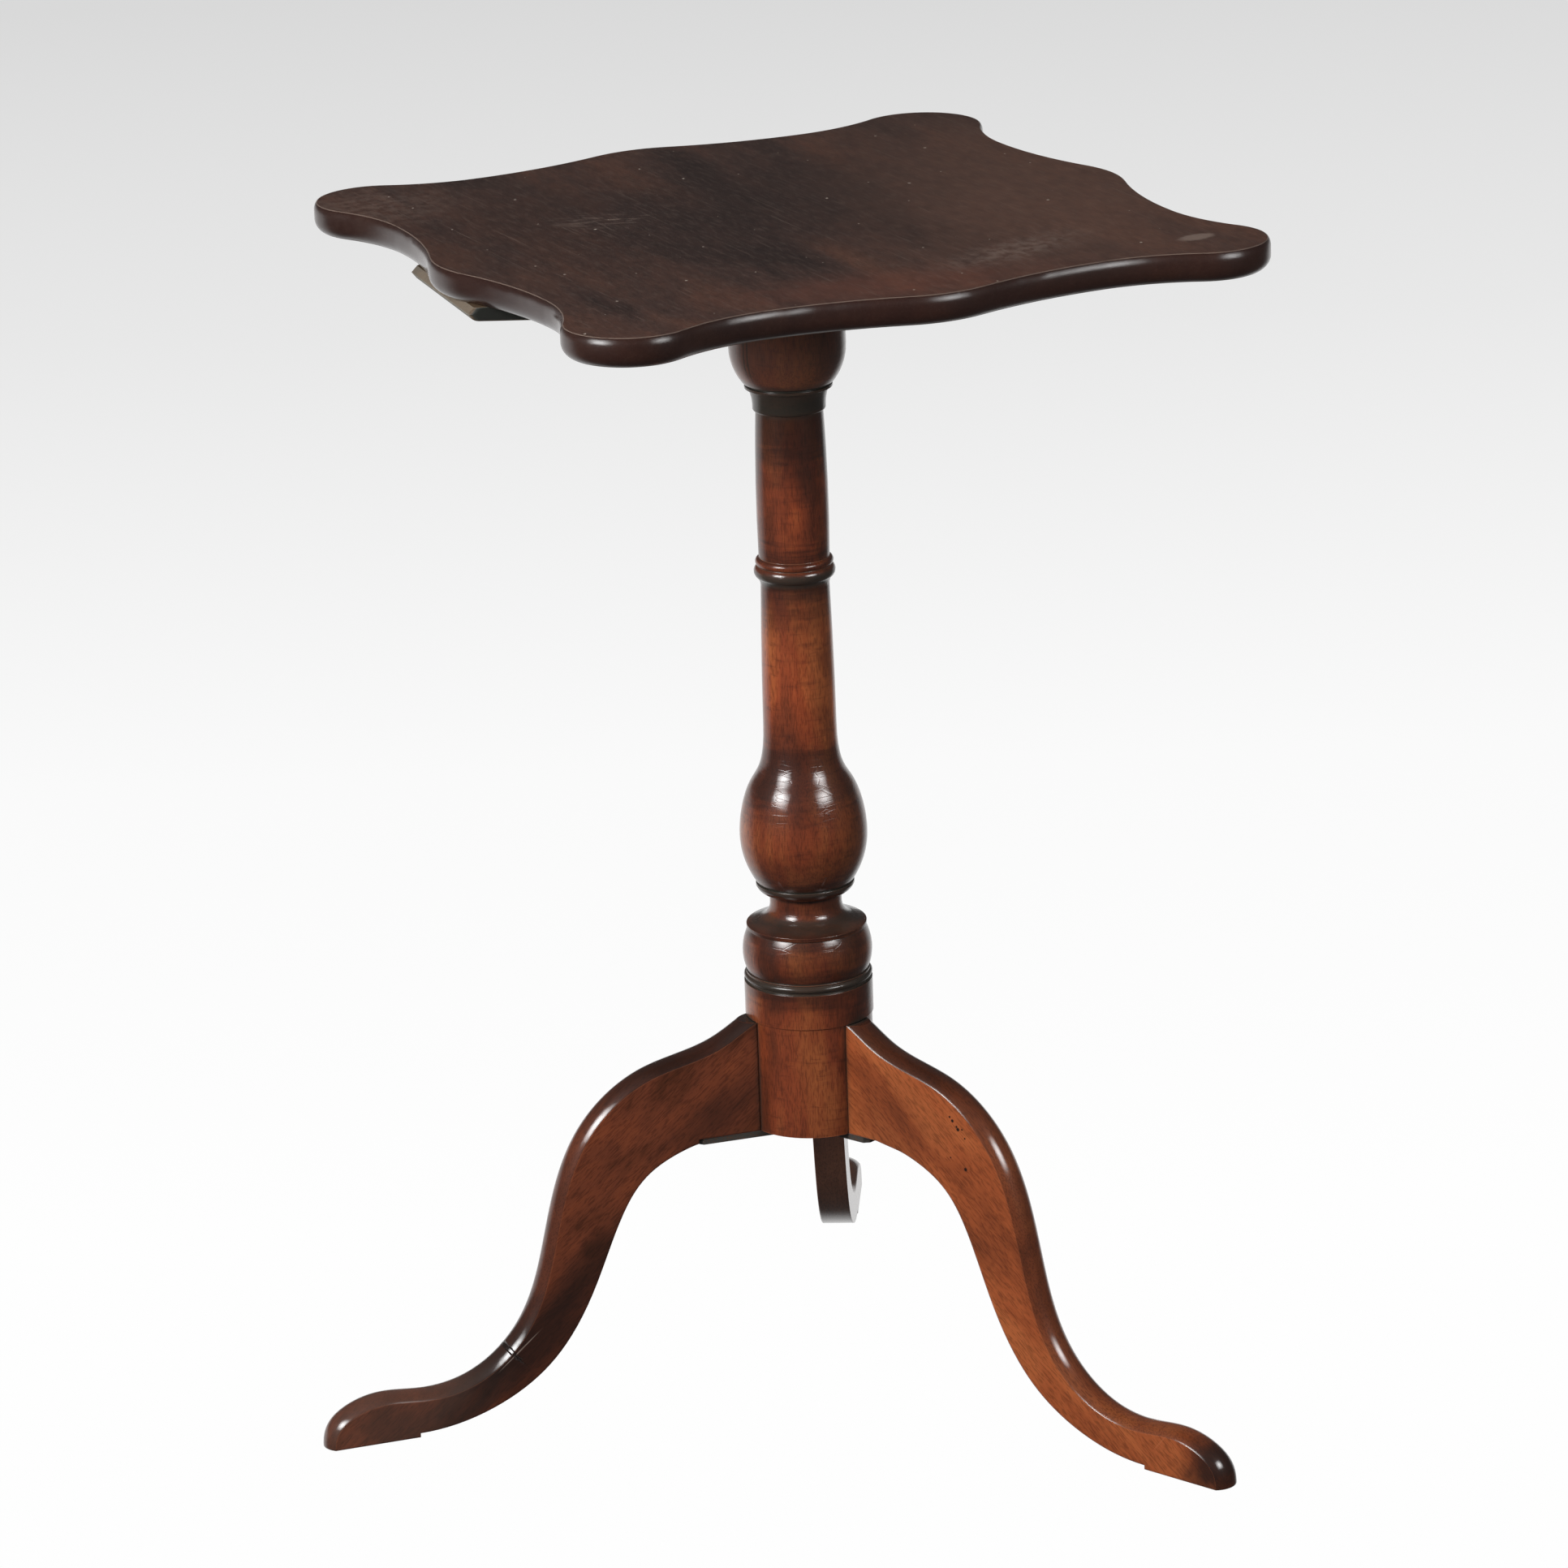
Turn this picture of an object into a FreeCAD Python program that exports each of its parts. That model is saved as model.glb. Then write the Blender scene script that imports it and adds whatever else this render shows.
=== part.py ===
import FreeCAD, Part
import math
import os

# Tripod candle stand. A serpentine top is screwed to a broad cleat, the tenon of a turned
# column is wedged through the cleat, and three cabriole legs hang on sliding dovetails in the
# foot of the column, with an iron spider plate nailed across their undersides.
# Millimetres, +Z up. The origin is on the floor under the column's axis, and +X and +Y run along
# the sides of the square top, +Y with its grain. The cleat, column and legs were put together
# as one and sit a little turned under the top.

V = FreeCAD.Vector

# Whole stand
HEIGHT = 700.0                 # floor to the upper face of the top
GLUE_GAP = 0.15                # between faces that are fitted and glued
HOLE_GAP = 0.1                 # around the shanks and heads of screws and nails
SAME = 1e-6                    # lengths that differ by less count as equal
BASE_TURN_ANGLE = -6.5         # degrees about the axis, of the cleat and all below it against the top

# Top board: four equal sides, each with a crest at its middle, a dip on either side of it
# and a round lobe at the corner
TOP_HALF = 211.0               # axis to a crest, which is also axis to a lobe's outer side
TOP_THICK = 17.5
CREST_RADIUS = 70.0
DIP_DEPTH = 18.0
DIP_FROM_MIDDLE = 105.0
LOBE_RADIUS = 36.0
EDGE_BULGE = 1.6               # how far the edge swells beyond the upper arris
EDGE_BULGE_DROP = 4.5          # from the upper face to the widest line of the edge
EDGE_UNDER_RADIUS = 8.0        # rounding under the edge
ARRIS_ROUND = 0.8              # wear on the upper arris

# Cleat under the top, across its grain
CLEAT_LENGTH = 408.0           # along its upper face
CLEAT_WIDTH = 115.0
CLEAT_THICK = 18.0
CLEAT_END_THICK = 7.5
CLEAT_END_EASE = 3.4           # bevel along the upper edge of each end
CLEAT_END_LEAN = 3.2           # how far each end is cut under
CLEAT_BEVEL = 117.0            # length of the long bevel from the lower edge of each end
CLEAT_CORNER_RADIUS = 3.0
CLEAT_CHAMFER = 0.8            # along the lower edges

# Wood screws from below through the cleat into the top
SCREW_HEAD_RADIUS = 4.6
SCREW_SHANK_RADIUS = 2.2
SCREW_HEAD_DEPTH = 2.6
SCREW_BITE = 11.0              # length in the top board
SCREW_SLOT = 1.0
SCREW_ALONG = 46.0             # main screws, from the axis along the cleat
SCREW_ACROSS = 44.0            # main screws, from the axis across the cleat
END_SCREW_INSET = 42.0         # end screws, from the cleat's end
SCREW_SINK = 1.2               # end screws, head below the bevel at its middle

# Tenon on the column and the wedge that spreads it
TENON_RADIUS = 16.0
WEDGE_THICK = 3.6
WEDGE_TIP_THICK = 1.2
WEDGE_LENGTH = 14.0

# Wear on the sharp corners of the turned mouldings
TURNED_ROUND = 0.4

# Foot of the column
DRUM_BOTTOM = 158.0            # floor to the underside of the drum
DRUM_HEIGHT = 67.0
DRUM_RADIUS = 36.8
COLLAR_HEIGHT = 21.0
COLLAR_RADIUS = 37.6
GROOVE_HEIGHT = 1.2
GROOVE_DEPTH = 1.3
BEAD_HEIGHT = 3.6
TORUS_HEIGHT = 26.0
TORUS_FOOT_RADIUS = 35.6
TORUS_RADIUS = 37.9
TORUS_HEAD_RADIUS = 34.3
FLANGE_RIM_HEIGHT = 2.4
FLANGE_RADIUS = 35.2
FLANGE_SLOPE = 20.0            # degrees, upper face before it turns up into the neck
FLANGE_COVE_RADIUS = 10.0
NECK_HEIGHT = 6.4
NECK_RADIUS = 21.0

# Vase above the neck
VASE_FOOT_HEIGHT = 5.0
VASE_FOOT_RADIUS = 28.8
VASE_FILLET = 1.6
VASE_QUIRK = 0.9               # step in from the fillet to the swelling
VASE_HEIGHT = 96.0
VASE_BELLY_HEIGHT = 28.0       # from the vase's foot to its widest line
VASE_BELLY_RADIUS = 37.2
VASE_SHOULDER_HEIGHT = 59.0    # from the vase's foot to where the curve turns hollow
VASE_SHOULDER_RADIUS = 31.0

# Shaft in two lengths with a ring between them
SHAFT_FOOT_RADIUS = 21.3
SHAFT_UNDER_RING_RADIUS = 19.9
SHAFT_OVER_RING_RADIUS = 20.5
SHAFT_HEAD_RADIUS = 19.5
SHAFT_LOWER_SWELL = 0.3
SHAFT_UPPER_SWELL = 0.8
RING_PLACE = 0.49              # share of the plain shaft that stands below the ring
RING_COVE_HEIGHT = 4.6
RING_FOOT_RADIUS = 21.5
RING_HEIGHT = 7.6
RING_RADIUS = 23.6
RING_HEAD_RADIUS = 21.7
RING_BEAD_HEIGHT = 4.6
RING_BEAD_RADIUS = 22.6

# Neck band and urn under the cleat
BAND_STEP = 1.6                # out from the shaft, rounded
BAND_HEIGHT = 12.0
BAND_HOLLOW = 0.7
BAND_HEAD_RADIUS = 23.4
LIP_HEIGHT = 1.8
LIP_RADIUS = 25.4
URN_GROOVE_HEIGHT = 1.6
URN_FOOT_RADIUS = 26.3
URN_RADIUS = 33.7
URN_CUP_HEIGHT = 21.0          # rounded part
URN_RIM_HEIGHT = 38.0          # straight part up to the cleat
URN_RIM_ROUND = 2.0

# Legs: the knee is set out from the drum and the leg's top, the foot from the toe and the floor
REAR_ANGLE = 67.5              # degrees about the axis from the cleat, set by hand and not quite even
LEFT_ANGLE = 180.0             # degrees
RIGHT_ANGLE = 300.0            # degrees
LEG_THICK = 19.0
LEG_CROWN_RADIUS = 12.4        # rounding across the upper side, which leaves an arris along each flank
FOOT_REACH = 307.5             # axis to the tip of the toe
LEG_EAR_OUT = 8.0              # flat on top where the leg is cut off level with the collar
LEG_HOLLOW_OUT = 22.0          # hollow below the ear, on the upper side
LEG_HOLLOW_DROP = 8.2
LEG_BROW_OUT = 67.0
LEG_BROW_DROP = 21.5
LEG_KNEE_OUT = 108.0
LEG_KNEE_DROP = 54.0
LEG_SEAT_OUT = 20.0            # flat under the leg where the spider plate lies
LEG_THIGH_OUT = 40.0           # lower side, with the drops below the seat
LEG_THIGH_DROP = 3.2
LEG_HAM_OUT = 66.0
LEG_HAM_DROP = 14.8
LEG_BEND_OUT = 86.0
LEG_BEND_DROP = 40.0
LEG_CALF_OUT = 104.0
LEG_CALF_DROP = 81.0
SHIN_BACK = 140.5              # from the toe, on the upper side
SHIN_RISE = 112.4
ANKLE_BACK = 119.0
ANKLE_RISE = 54.8
INSTEP_BACK = 87.7
INSTEP_RISE = 30.6
FOOT_DIP_BACK = 61.5
FOOT_DIP_RISE = 26.4
FOOT_TOP_BACK = 35.0
FOOT_TOP_RISE = 27.9
TOE_BACK = 12.5
TOE_RISE = 21.1
SOLE_LENGTH = 56.0
HEEL_STEP = 2.5
HEEL_BACK = 94.0               # from the toe, on the lower side
HEEL_RISE = 8.5
PASTERN_BACK = 136.0
PASTERN_RISE = 32.0

# Sliding dovetail of each leg
DOVETAIL_DEPTH = 13.0
DOVETAIL_ROOT = 9.0            # width where it leaves the leg
DOVETAIL_TIP = 13.0
DOVETAIL_STOP = 12.0           # from its head to the leg's top

# Iron spider plate and its nails
PLATE_THICK = 3.8
PLATE_HUB_RADIUS = 22.0
REAR_ARM_REACH = 60.0          # axis to the tip of each arm, forged to different lengths
LEFT_ARM_REACH = 74.0
RIGHT_ARM_REACH = 49.0
PLATE_ARM_ROOT = 20.0          # width of an arm at the hub
PLATE_ARM_TIP = 18.0
PLATE_TIP_CUT = 3.0
NAIL_RADIUS = 1.6
NAIL_HEAD_RADIUS = 3.8
NAIL_HEAD_HEIGHT = 1.6
NAIL_LENGTH = 16.0
NAIL_IN_COLUMN = 16.0          # from the axis, midway between two legs
NAIL_IN_LEG = 42.0             # from the axis, into a leg

# Heights that follow from the sizes above
TOP_UNDERSIDE = HEIGHT - TOP_THICK
CLEAT_UNDERSIDE = TOP_UNDERSIDE - CLEAT_THICK
LEG_TOP = DRUM_BOTTOM + DRUM_HEIGHT
TENON_TOP = TOP_UNDERSIDE - GLUE_GAP

# Direction of each leg, and the reach of the plate's arm under it, counterclockwise
LEG_DIRECTIONS = {
    "leg_rear": BASE_TURN_ANGLE + REAR_ANGLE,
    "leg_left": BASE_TURN_ANGLE + LEFT_ANGLE,
    "leg_right": BASE_TURN_ANGLE + RIGHT_ANGLE,
}
ARM_REACHES = {"leg_rear": REAR_ARM_REACH, "leg_left": LEFT_ARM_REACH, "leg_right": RIGHT_ARM_REACH}


def arc_edge(start, end, rise):
    """Arc from start to end whose middle stands rise to the left of the chord."""
    chord = end - start
    side = V(-chord.z, 0, chord.x).normalize()
    middle = (start + end) * 0.5 + side * rise
    return Part.Arc(start, middle, end).toShape()


def spline_edge(points, first_tangent=None, last_tangent=None):
    """Smooth curve through points, with end directions where they are given."""
    curve = Part.BSplineCurve()
    if first_tangent is None:
        curve.interpolate(points)
    else:
        curve.interpolate(Points=points, InitialTangent=first_tangent, FinalTangent=last_tangent)
    return curve.toShape()


def turn(edges):
    """Solid turned about the Z axis from a closed chain of edges in the XZ plane."""
    face = Part.Face(Part.Wire(edges))
    return face.revolve(V(0, 0, 0), V(0, 0, 1), 360)


def prism(points, rise):
    """Prism on the polygon through points, raised along Z."""
    return Part.Face(Part.makePolygon(points + points[:1])).extrude(V(0, 0, rise))


def about_axis(shape, angle):
    """Copy of shape turned about the column's axis."""
    turned = shape.copy()
    turned.rotate(V(0, 0, 0), V(0, 0, 1), angle)
    return turned


def serpentine(grow, z):
    """Outline of the top, grown outwards by grow, as a closed wire that starts on a crest."""
    lobe_at = TOP_HALF - LOBE_RADIUS
    dip_level = TOP_HALF - DIP_DEPTH
    inner_cove = (DIP_FROM_MIDDLE**2 + DIP_DEPTH**2) / (2 * DIP_DEPTH) - CREST_RADIUS
    rise = dip_level - lobe_at
    run = lobe_at - DIP_FROM_MIDDLE
    outer_cove = (run**2 + rise**2 - LOBE_RADIUS**2) / (2 * (LOBE_RADIUS - rise))
    crest_centre = V(0, TOP_HALF - CREST_RADIUS, z)
    inner_centre = V(DIP_FROM_MIDDLE, dip_level + inner_cove, z)
    outer_centre = V(DIP_FROM_MIDDLE, dip_level + outer_cove, z)
    lobe_centre = V(lobe_at, lobe_at, z)

    def on_arc(centre, direction, radius):
        return centre + V(direction).normalize() * radius

    def arc(centre, radius, first, last):
        start = on_arc(centre, first, radius)
        end = on_arc(centre, last, radius)
        middle = on_arc(centre, V(first).normalize() + V(last).normalize(), radius)
        return Part.Arc(start, middle, end).toShape()

    to_inner = inner_centre - crest_centre
    to_lobe = lobe_centre - outer_centre
    up = V(0, 1, 0)
    half_side = [
        arc(crest_centre, CREST_RADIUS + grow, up, to_inner),
        arc(inner_centre, inner_cove - grow, to_inner * -1, up * -1),
        arc(outer_centre, outer_cove - grow, up * -1, to_lobe),
        arc(lobe_centre, LOBE_RADIUS + grow, to_lobe * -1, V(1, 1, 0)),
    ]
    other_half = [edge.mirror(V(0, 0, 0), V(1, -1, 0)) for edge in reversed(half_side)]
    edges = []
    for quarter in range(4):
        edges += [about_axis(edge, -90 * quarter) for edge in half_side + other_half]
    return Part.Wire(Part.__sortEdges__(edges))


def top_board():
    """Board with a crisp upper arris, a swelling edge and a rounded underside."""
    band = EDGE_UNDER_RADIUS + EDGE_BULGE_DROP
    widest = TOP_HALF + EDGE_BULGE

    def at(out, z):
        return V(0, out, z)

    arris = at(TOP_HALF, HEIGHT)
    swell = at(widest, HEIGHT - EDGE_BULGE_DROP)
    under = at(widest, TOP_UNDERSIDE + EDGE_UNDER_RADIUS)
    flat = at(widest - EDGE_UNDER_RADIUS, TOP_UNDERSIDE)
    swell_radius = (EDGE_BULGE**2 + EDGE_BULGE_DROP**2) / (2 * EDGE_BULGE)
    half_angle = math.asin(EDGE_BULGE_DROP / swell_radius) / 2
    swell_middle = at(
        widest - swell_radius + swell_radius * math.cos(half_angle),
        swell.z + swell_radius * math.sin(half_angle),
    )
    corner = EDGE_UNDER_RADIUS * math.sqrt(0.5)
    under_middle = at(flat.y + corner, under.z - corner)
    inner_low = at(TOP_HALF - band, TOP_UNDERSIDE)
    inner_high = at(TOP_HALF - band, HEIGHT)
    section = Part.Wire([
        Part.Arc(arris, swell_middle, swell).toShape(),
        Part.makeLine(swell, under),
        Part.Arc(under, under_middle, flat).toShape(),
        Part.makeLine(flat, inner_low),
        Part.makeLine(inner_low, inner_high),
        Part.makeLine(inner_high, arris),
    ])
    sweep = Part.BRepOffsetAPI.MakePipeShell(serpentine(0, HEIGHT))
    sweep.setBiNormalMode(V(0, 0, 1))
    sweep.add(section, False, False)
    sweep.build()
    sweep.makeSolid()
    core = Part.Face(serpentine(-band, TOP_UNDERSIDE)).extrude(V(0, 0, TOP_THICK))
    board = core.fuse(sweep.shape()).removeSplitter()
    upper_edges = [edge for edge in board.Edges if edge.BoundBox.ZMin > HEIGHT - SAME]
    board = board.makeFillet(ARRIS_ROUND, upper_edges)
    for x, y, _ in screw_places():
        pilot = Part.makeCylinder(
            SCREW_SHANK_RADIUS + HOLE_GAP, SCREW_BITE + HOLE_GAP, V(x, y, TOP_UNDERSIDE)
        )
        board = board.cut(about_axis(pilot, BASE_TURN_ANGLE))
    return board


def cleat_underside_at(x):
    """Height of the cleat's underside at a distance x from the axis."""
    from_end = CLEAT_LENGTH / 2 - CLEAT_END_LEAN - abs(x)
    share = min(from_end / CLEAT_BEVEL, 1.0)
    return TOP_UNDERSIDE - CLEAT_END_THICK - (CLEAT_THICK - CLEAT_END_THICK) * share


def screw_places():
    """Each screw's place along and across the cleat, and the height of its head: four main, two end."""
    places = []
    for x in (-SCREW_ALONG, SCREW_ALONG):
        for y in (-SCREW_ACROSS, SCREW_ACROSS):
            places.append((x, y, cleat_underside_at(x)))
    end_x = CLEAT_LENGTH / 2 - END_SCREW_INSET
    for x in (-end_x, end_x):
        places.append((x, 0.0, cleat_underside_at(x) + SCREW_SINK))
    return places


def screw(x, y, head_z):
    """Slotted countersunk screw, head down, with its point in the top board, x along the cleat."""
    neck = head_z + SCREW_HEAD_DEPTH
    tip = TOP_UNDERSIDE + SCREW_BITE
    profile = [
        V(0, 0, head_z),
        V(SCREW_HEAD_RADIUS, 0, head_z),
        V(SCREW_SHANK_RADIUS, 0, neck),
        V(SCREW_SHANK_RADIUS, 0, tip - SCREW_SHANK_RADIUS),
        V(0, 0, tip),
    ]
    body = turn(Part.makePolygon(profile + profile[:1]).Edges)
    slot_length = 2 * SCREW_HEAD_RADIUS
    slot = Part.makeBox(
        slot_length, SCREW_SLOT, SCREW_SLOT, V(-slot_length / 2, -SCREW_SLOT / 2, head_z)
    )
    solid = body.cut(slot)
    solid.translate(V(x, y, 0))
    return about_axis(solid, BASE_TURN_ANGLE)


def cleat():
    """Broad cleat, thick over the column and bevelled to thin ends, bored for tenon and screws."""
    half = CLEAT_LENGTH / 2
    lower_half = half - CLEAT_END_LEAN
    flat = lower_half - CLEAT_BEVEL
    end_z = TOP_UNDERSIDE - CLEAT_END_THICK
    right_half = [
        V(flat, 0, CLEAT_UNDERSIDE),
        V(lower_half, 0, end_z),
        V(half, 0, TOP_UNDERSIDE - CLEAT_END_EASE),
        V(half - CLEAT_END_EASE, 0, TOP_UNDERSIDE),
    ]
    side = right_half + [V(-point.x, 0, point.z) for point in reversed(right_half)]
    blank = Part.Face(Part.makePolygon(side + side[:1])).extrude(V(0, CLEAT_WIDTH, 0))
    blank.translate(V(0, -CLEAT_WIDTH / 2, 0))
    corners = [
        edge for edge in blank.Edges
        if abs(edge.CenterOfMass.x) > lower_half + SAME and edge.BoundBox.ZLength > SAME
    ]
    solid = blank.makeFillet(CLEAT_CORNER_RADIUS, corners)
    inside = Part.makeBox(
        2 * (lower_half - CLEAT_CORNER_RADIUS),
        CLEAT_WIDTH - 2 * CLEAT_CORNER_RADIUS,
        CLEAT_THICK,
        V(CLEAT_CORNER_RADIUS - lower_half, CLEAT_CORNER_RADIUS - CLEAT_WIDTH / 2, CLEAT_UNDERSIDE),
    )
    lower_edges = [
        edge for edge in solid.Edges
        if edge.BoundBox.ZMax < end_z + SAME and not inside.isInside(edge.CenterOfMass, SAME, True)
    ]
    solid = solid.makeChamfer(CLEAT_CHAMFER, lower_edges)
    mortise = Part.makeCylinder(TENON_RADIUS + GLUE_GAP, CLEAT_THICK, V(0, 0, CLEAT_UNDERSIDE))
    solid = solid.cut(mortise)
    for x, y, head_z in screw_places():
        depth = TOP_UNDERSIDE - head_z
        head_hole = SCREW_HEAD_RADIUS + HOLE_GAP
        shank_hole = SCREW_SHANK_RADIUS + HOLE_GAP
        clearance = Part.makeCylinder(shank_hole, depth, V(x, y, head_z))
        countersink = Part.makeCone(head_hole, shank_hole, SCREW_HEAD_DEPTH, V(x, y, head_z))
        way_in = Part.makeCylinder(head_hole, CLEAT_THICK, V(x, y, head_z - CLEAT_THICK))
        solid = solid.cut(clearance.fuse(countersink)).cut(way_in)
    return about_axis(solid, BASE_TURN_ANGLE)


class Turning:
    """Outline of a turned piece, drawn upwards from a point on its axis."""

    def __init__(self, z):
        self.start = V(0, 0, z)
        self.end = self.start
        self.edges = []

    def add(self, edge, end):
        self.edges.append(edge)
        self.end = end

    def step(self, radius):
        """Square step in or out to a radius."""
        self.line(radius, 0)

    def line(self, radius, rise):
        end = V(radius, 0, self.end.z + rise)
        self.add(Part.makeLine(self.end, end), end)

    def arc(self, radius, rise, swell):
        """Arc whose middle stands outside its chord by swell, or inside it if that is negative."""
        end = V(radius, 0, self.end.z + rise)
        self.add(arc_edge(self.end, end, -swell), end)

    def round_to(self, radius, rise, widest):
        """Arc that swells about as far as the widest radius."""
        self.arc(radius, rise, widest - (self.end.x + radius) / 2)

    def solid(self):
        self.step(0)
        return turn(self.edges + [Part.makeLine(self.end, self.start)])


def turn_foot(turning):
    """Drum, collar, bead between two grooves, torus, hollow flange and neck."""
    groove_radius = COLLAR_RADIUS - GROOVE_DEPTH
    turning.step(DRUM_RADIUS)
    turning.line(DRUM_RADIUS, DRUM_HEIGHT)
    turning.step(COLLAR_RADIUS)
    turning.line(COLLAR_RADIUS, COLLAR_HEIGHT)
    turning.step(groove_radius)
    turning.line(groove_radius, GROOVE_HEIGHT)
    turning.round_to(groove_radius, BEAD_HEIGHT, COLLAR_RADIUS)
    turning.line(groove_radius, GROOVE_HEIGHT)
    turning.step(TORUS_FOOT_RADIUS)
    turning.round_to(TORUS_HEAD_RADIUS, TORUS_HEIGHT, TORUS_RADIUS)
    turning.step(FLANGE_RADIUS)
    turning.line(FLANGE_RADIUS, FLANGE_RIM_HEIGHT)
    slope = math.radians(FLANGE_SLOPE)
    cove_foot = NECK_RADIUS + FLANGE_COVE_RADIUS * (1 - math.sin(slope))
    turning.line(cove_foot, (FLANGE_RADIUS - cove_foot) * math.tan(slope))
    cove_sag = FLANGE_COVE_RADIUS * (1 - math.cos((math.pi / 2 - slope) / 2))
    turning.arc(NECK_RADIUS, FLANGE_COVE_RADIUS * math.cos(slope), -cove_sag)
    turning.line(NECK_RADIUS, NECK_HEIGHT)


def turn_vase(turning):
    """Vase that swells from a rounded foot and runs out into the shaft."""
    round_chord = math.hypot(VASE_FOOT_RADIUS - NECK_RADIUS, VASE_FOOT_HEIGHT)
    turning.arc(VASE_FOOT_RADIUS, VASE_FOOT_HEIGHT, round_chord / 6)
    turning.line(VASE_FOOT_RADIUS, VASE_FILLET)
    turning.step(VASE_FOOT_RADIUS - VASE_QUIRK)
    foot = turning.end
    head = V(SHAFT_FOOT_RADIUS, 0, foot.z + VASE_HEIGHT)
    belly = V(VASE_BELLY_RADIUS, 0, foot.z + VASE_BELLY_HEIGHT)
    shoulder = V(VASE_SHOULDER_RADIUS, 0, foot.z + VASE_SHOULDER_HEIGHT)
    leaving = V(belly.x - foot.x, 0, VASE_BELLY_HEIGHT / 2)
    turning.add(spline_edge([foot, belly, shoulder, head], leaving, V(0, 0, 1)), head)


def turn_shaft(turning):
    """Two plain lengths that take up the height that is left, with the ring between them."""
    ring = RING_COVE_HEIGHT + RING_HEIGHT + RING_BEAD_HEIGHT
    band = BAND_STEP + BAND_HEIGHT + LIP_HEIGHT + URN_GROOVE_HEIGHT
    urn = URN_CUP_HEIGHT + URN_RIM_HEIGHT
    plain = CLEAT_UNDERSIDE - urn - band - ring - turning.end.z
    turning.arc(SHAFT_UNDER_RING_RADIUS, plain * RING_PLACE, SHAFT_LOWER_SWELL)
    cove_sag = (RING_FOOT_RADIUS - SHAFT_UNDER_RING_RADIUS) / 4
    turning.arc(RING_FOOT_RADIUS, RING_COVE_HEIGHT, -cove_sag)
    turning.round_to(RING_HEAD_RADIUS, RING_HEIGHT, RING_RADIUS)
    turning.round_to(SHAFT_OVER_RING_RADIUS, RING_BEAD_HEIGHT, RING_BEAD_RADIUS)
    turning.arc(SHAFT_HEAD_RADIUS, plain * (1 - RING_PLACE), SHAFT_UPPER_SWELL)


def turn_urn(turning):
    """Hollow neck band, lip, groove and urn, then the tenon that goes through the cleat."""
    round_sag = BAND_STEP * (1 - math.sqrt(0.5))
    turning.arc(SHAFT_HEAD_RADIUS + BAND_STEP, BAND_STEP, round_sag)
    turning.arc(BAND_HEAD_RADIUS, BAND_HEIGHT, -BAND_HOLLOW)
    turning.step(LIP_RADIUS)
    turning.line(LIP_RADIUS, LIP_HEIGHT)
    turning.step(LIP_RADIUS - GROOVE_DEPTH)
    turning.line(LIP_RADIUS - GROOVE_DEPTH, URN_GROOVE_HEIGHT)
    turning.step(URN_FOOT_RADIUS)
    cup_run = URN_RADIUS - URN_FOOT_RADIUS
    cup_radius = (cup_run**2 + URN_CUP_HEIGHT**2) / (2 * cup_run)
    half_angle = math.asin(URN_CUP_HEIGHT / cup_radius) / 2
    turning.arc(URN_RADIUS, URN_CUP_HEIGHT, cup_radius * (1 - math.cos(half_angle)))
    turning.line(URN_RADIUS, URN_RIM_HEIGHT - URN_RIM_ROUND)
    turning.arc(URN_RADIUS - URN_RIM_ROUND, URN_RIM_ROUND, URN_RIM_ROUND * (1 - math.sqrt(0.5)))
    turning.step(TENON_RADIUS)
    turning.line(TENON_RADIUS, TENON_TOP - CLEAT_UNDERSIDE)


def dovetail(side_gap, head_gap):
    """Dovetail along -X from the drum's face, grown by side_gap at its sides and tip."""
    root = DOVETAIL_ROOT / 2 + side_gap
    tip = DOVETAIL_TIP / 2 + side_gap
    slope = (DOVETAIL_TIP - DOVETAIL_ROOT) / 2 / DOVETAIL_DEPTH
    outer = DRUM_RADIUS + LEG_EAR_OUT / 2
    outer_half = root - slope * (outer - DRUM_RADIUS)
    inner = DRUM_RADIUS - DOVETAIL_DEPTH - side_gap
    corners = [
        V(outer, -outer_half, DRUM_BOTTOM),
        V(outer, outer_half, DRUM_BOTTOM),
        V(inner, tip, DRUM_BOTTOM),
        V(inner, -tip, DRUM_BOTTOM),
    ]
    return prism(corners, DRUM_HEIGHT - DOVETAIL_STOP + head_gap)


def column():
    """Turned column with a slotted tenon, three dovetail housings and nail holes."""
    turning = Turning(DRUM_BOTTOM)
    turn_foot(turning)
    turn_vase(turning)
    turn_shaft(turning)
    turn_urn(turning)
    solid = turning.solid()
    crisp_radii = (COLLAR_RADIUS, FLANGE_RADIUS, VASE_FOOT_RADIUS, LIP_RADIUS, URN_FOOT_RADIUS)
    crisp = [
        edge for edge in solid.Edges
        if edge.isClosed() and any(abs(edge.Curve.Radius - radius) < SAME for radius in crisp_radii)
    ]
    solid = solid.makeFillet(TURNED_ROUND, crisp)
    housing = dovetail(GLUE_GAP, GLUE_GAP)
    for angle in LEG_DIRECTIONS.values():
        solid = solid.cut(about_axis(housing, angle))
    kerf = wedge(HOLE_GAP, TENON_RADIUS + GLUE_GAP)
    return solid.cut(kerf).cut(Part.makeCompound(nail_shanks(HOLE_GAP)))


def wedge(gap, half_width):
    """Wedge across the cleat, pointing down into the tenon's end, grown by gap at flanks and tip."""
    tip = WEDGE_TIP_THICK / 2 + gap
    back = WEDGE_THICK / 2 + gap
    low = TENON_TOP - WEDGE_LENGTH - gap
    side = [
        V(-tip, -half_width, low),
        V(tip, -half_width, low),
        V(back, -half_width, TENON_TOP),
        V(-back, -half_width, TENON_TOP),
    ]
    across = Part.Face(Part.makePolygon(side + side[:1])).extrude(V(0, 2 * half_width, 0))
    return about_axis(across, BASE_TURN_ANGLE)


def tenon_wedge():
    """Wedge as wide as the tenon is at the wedge's faces."""
    return wedge(0, math.sqrt(TENON_RADIUS**2 - (WEDGE_THICK / 2) ** 2))


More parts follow.
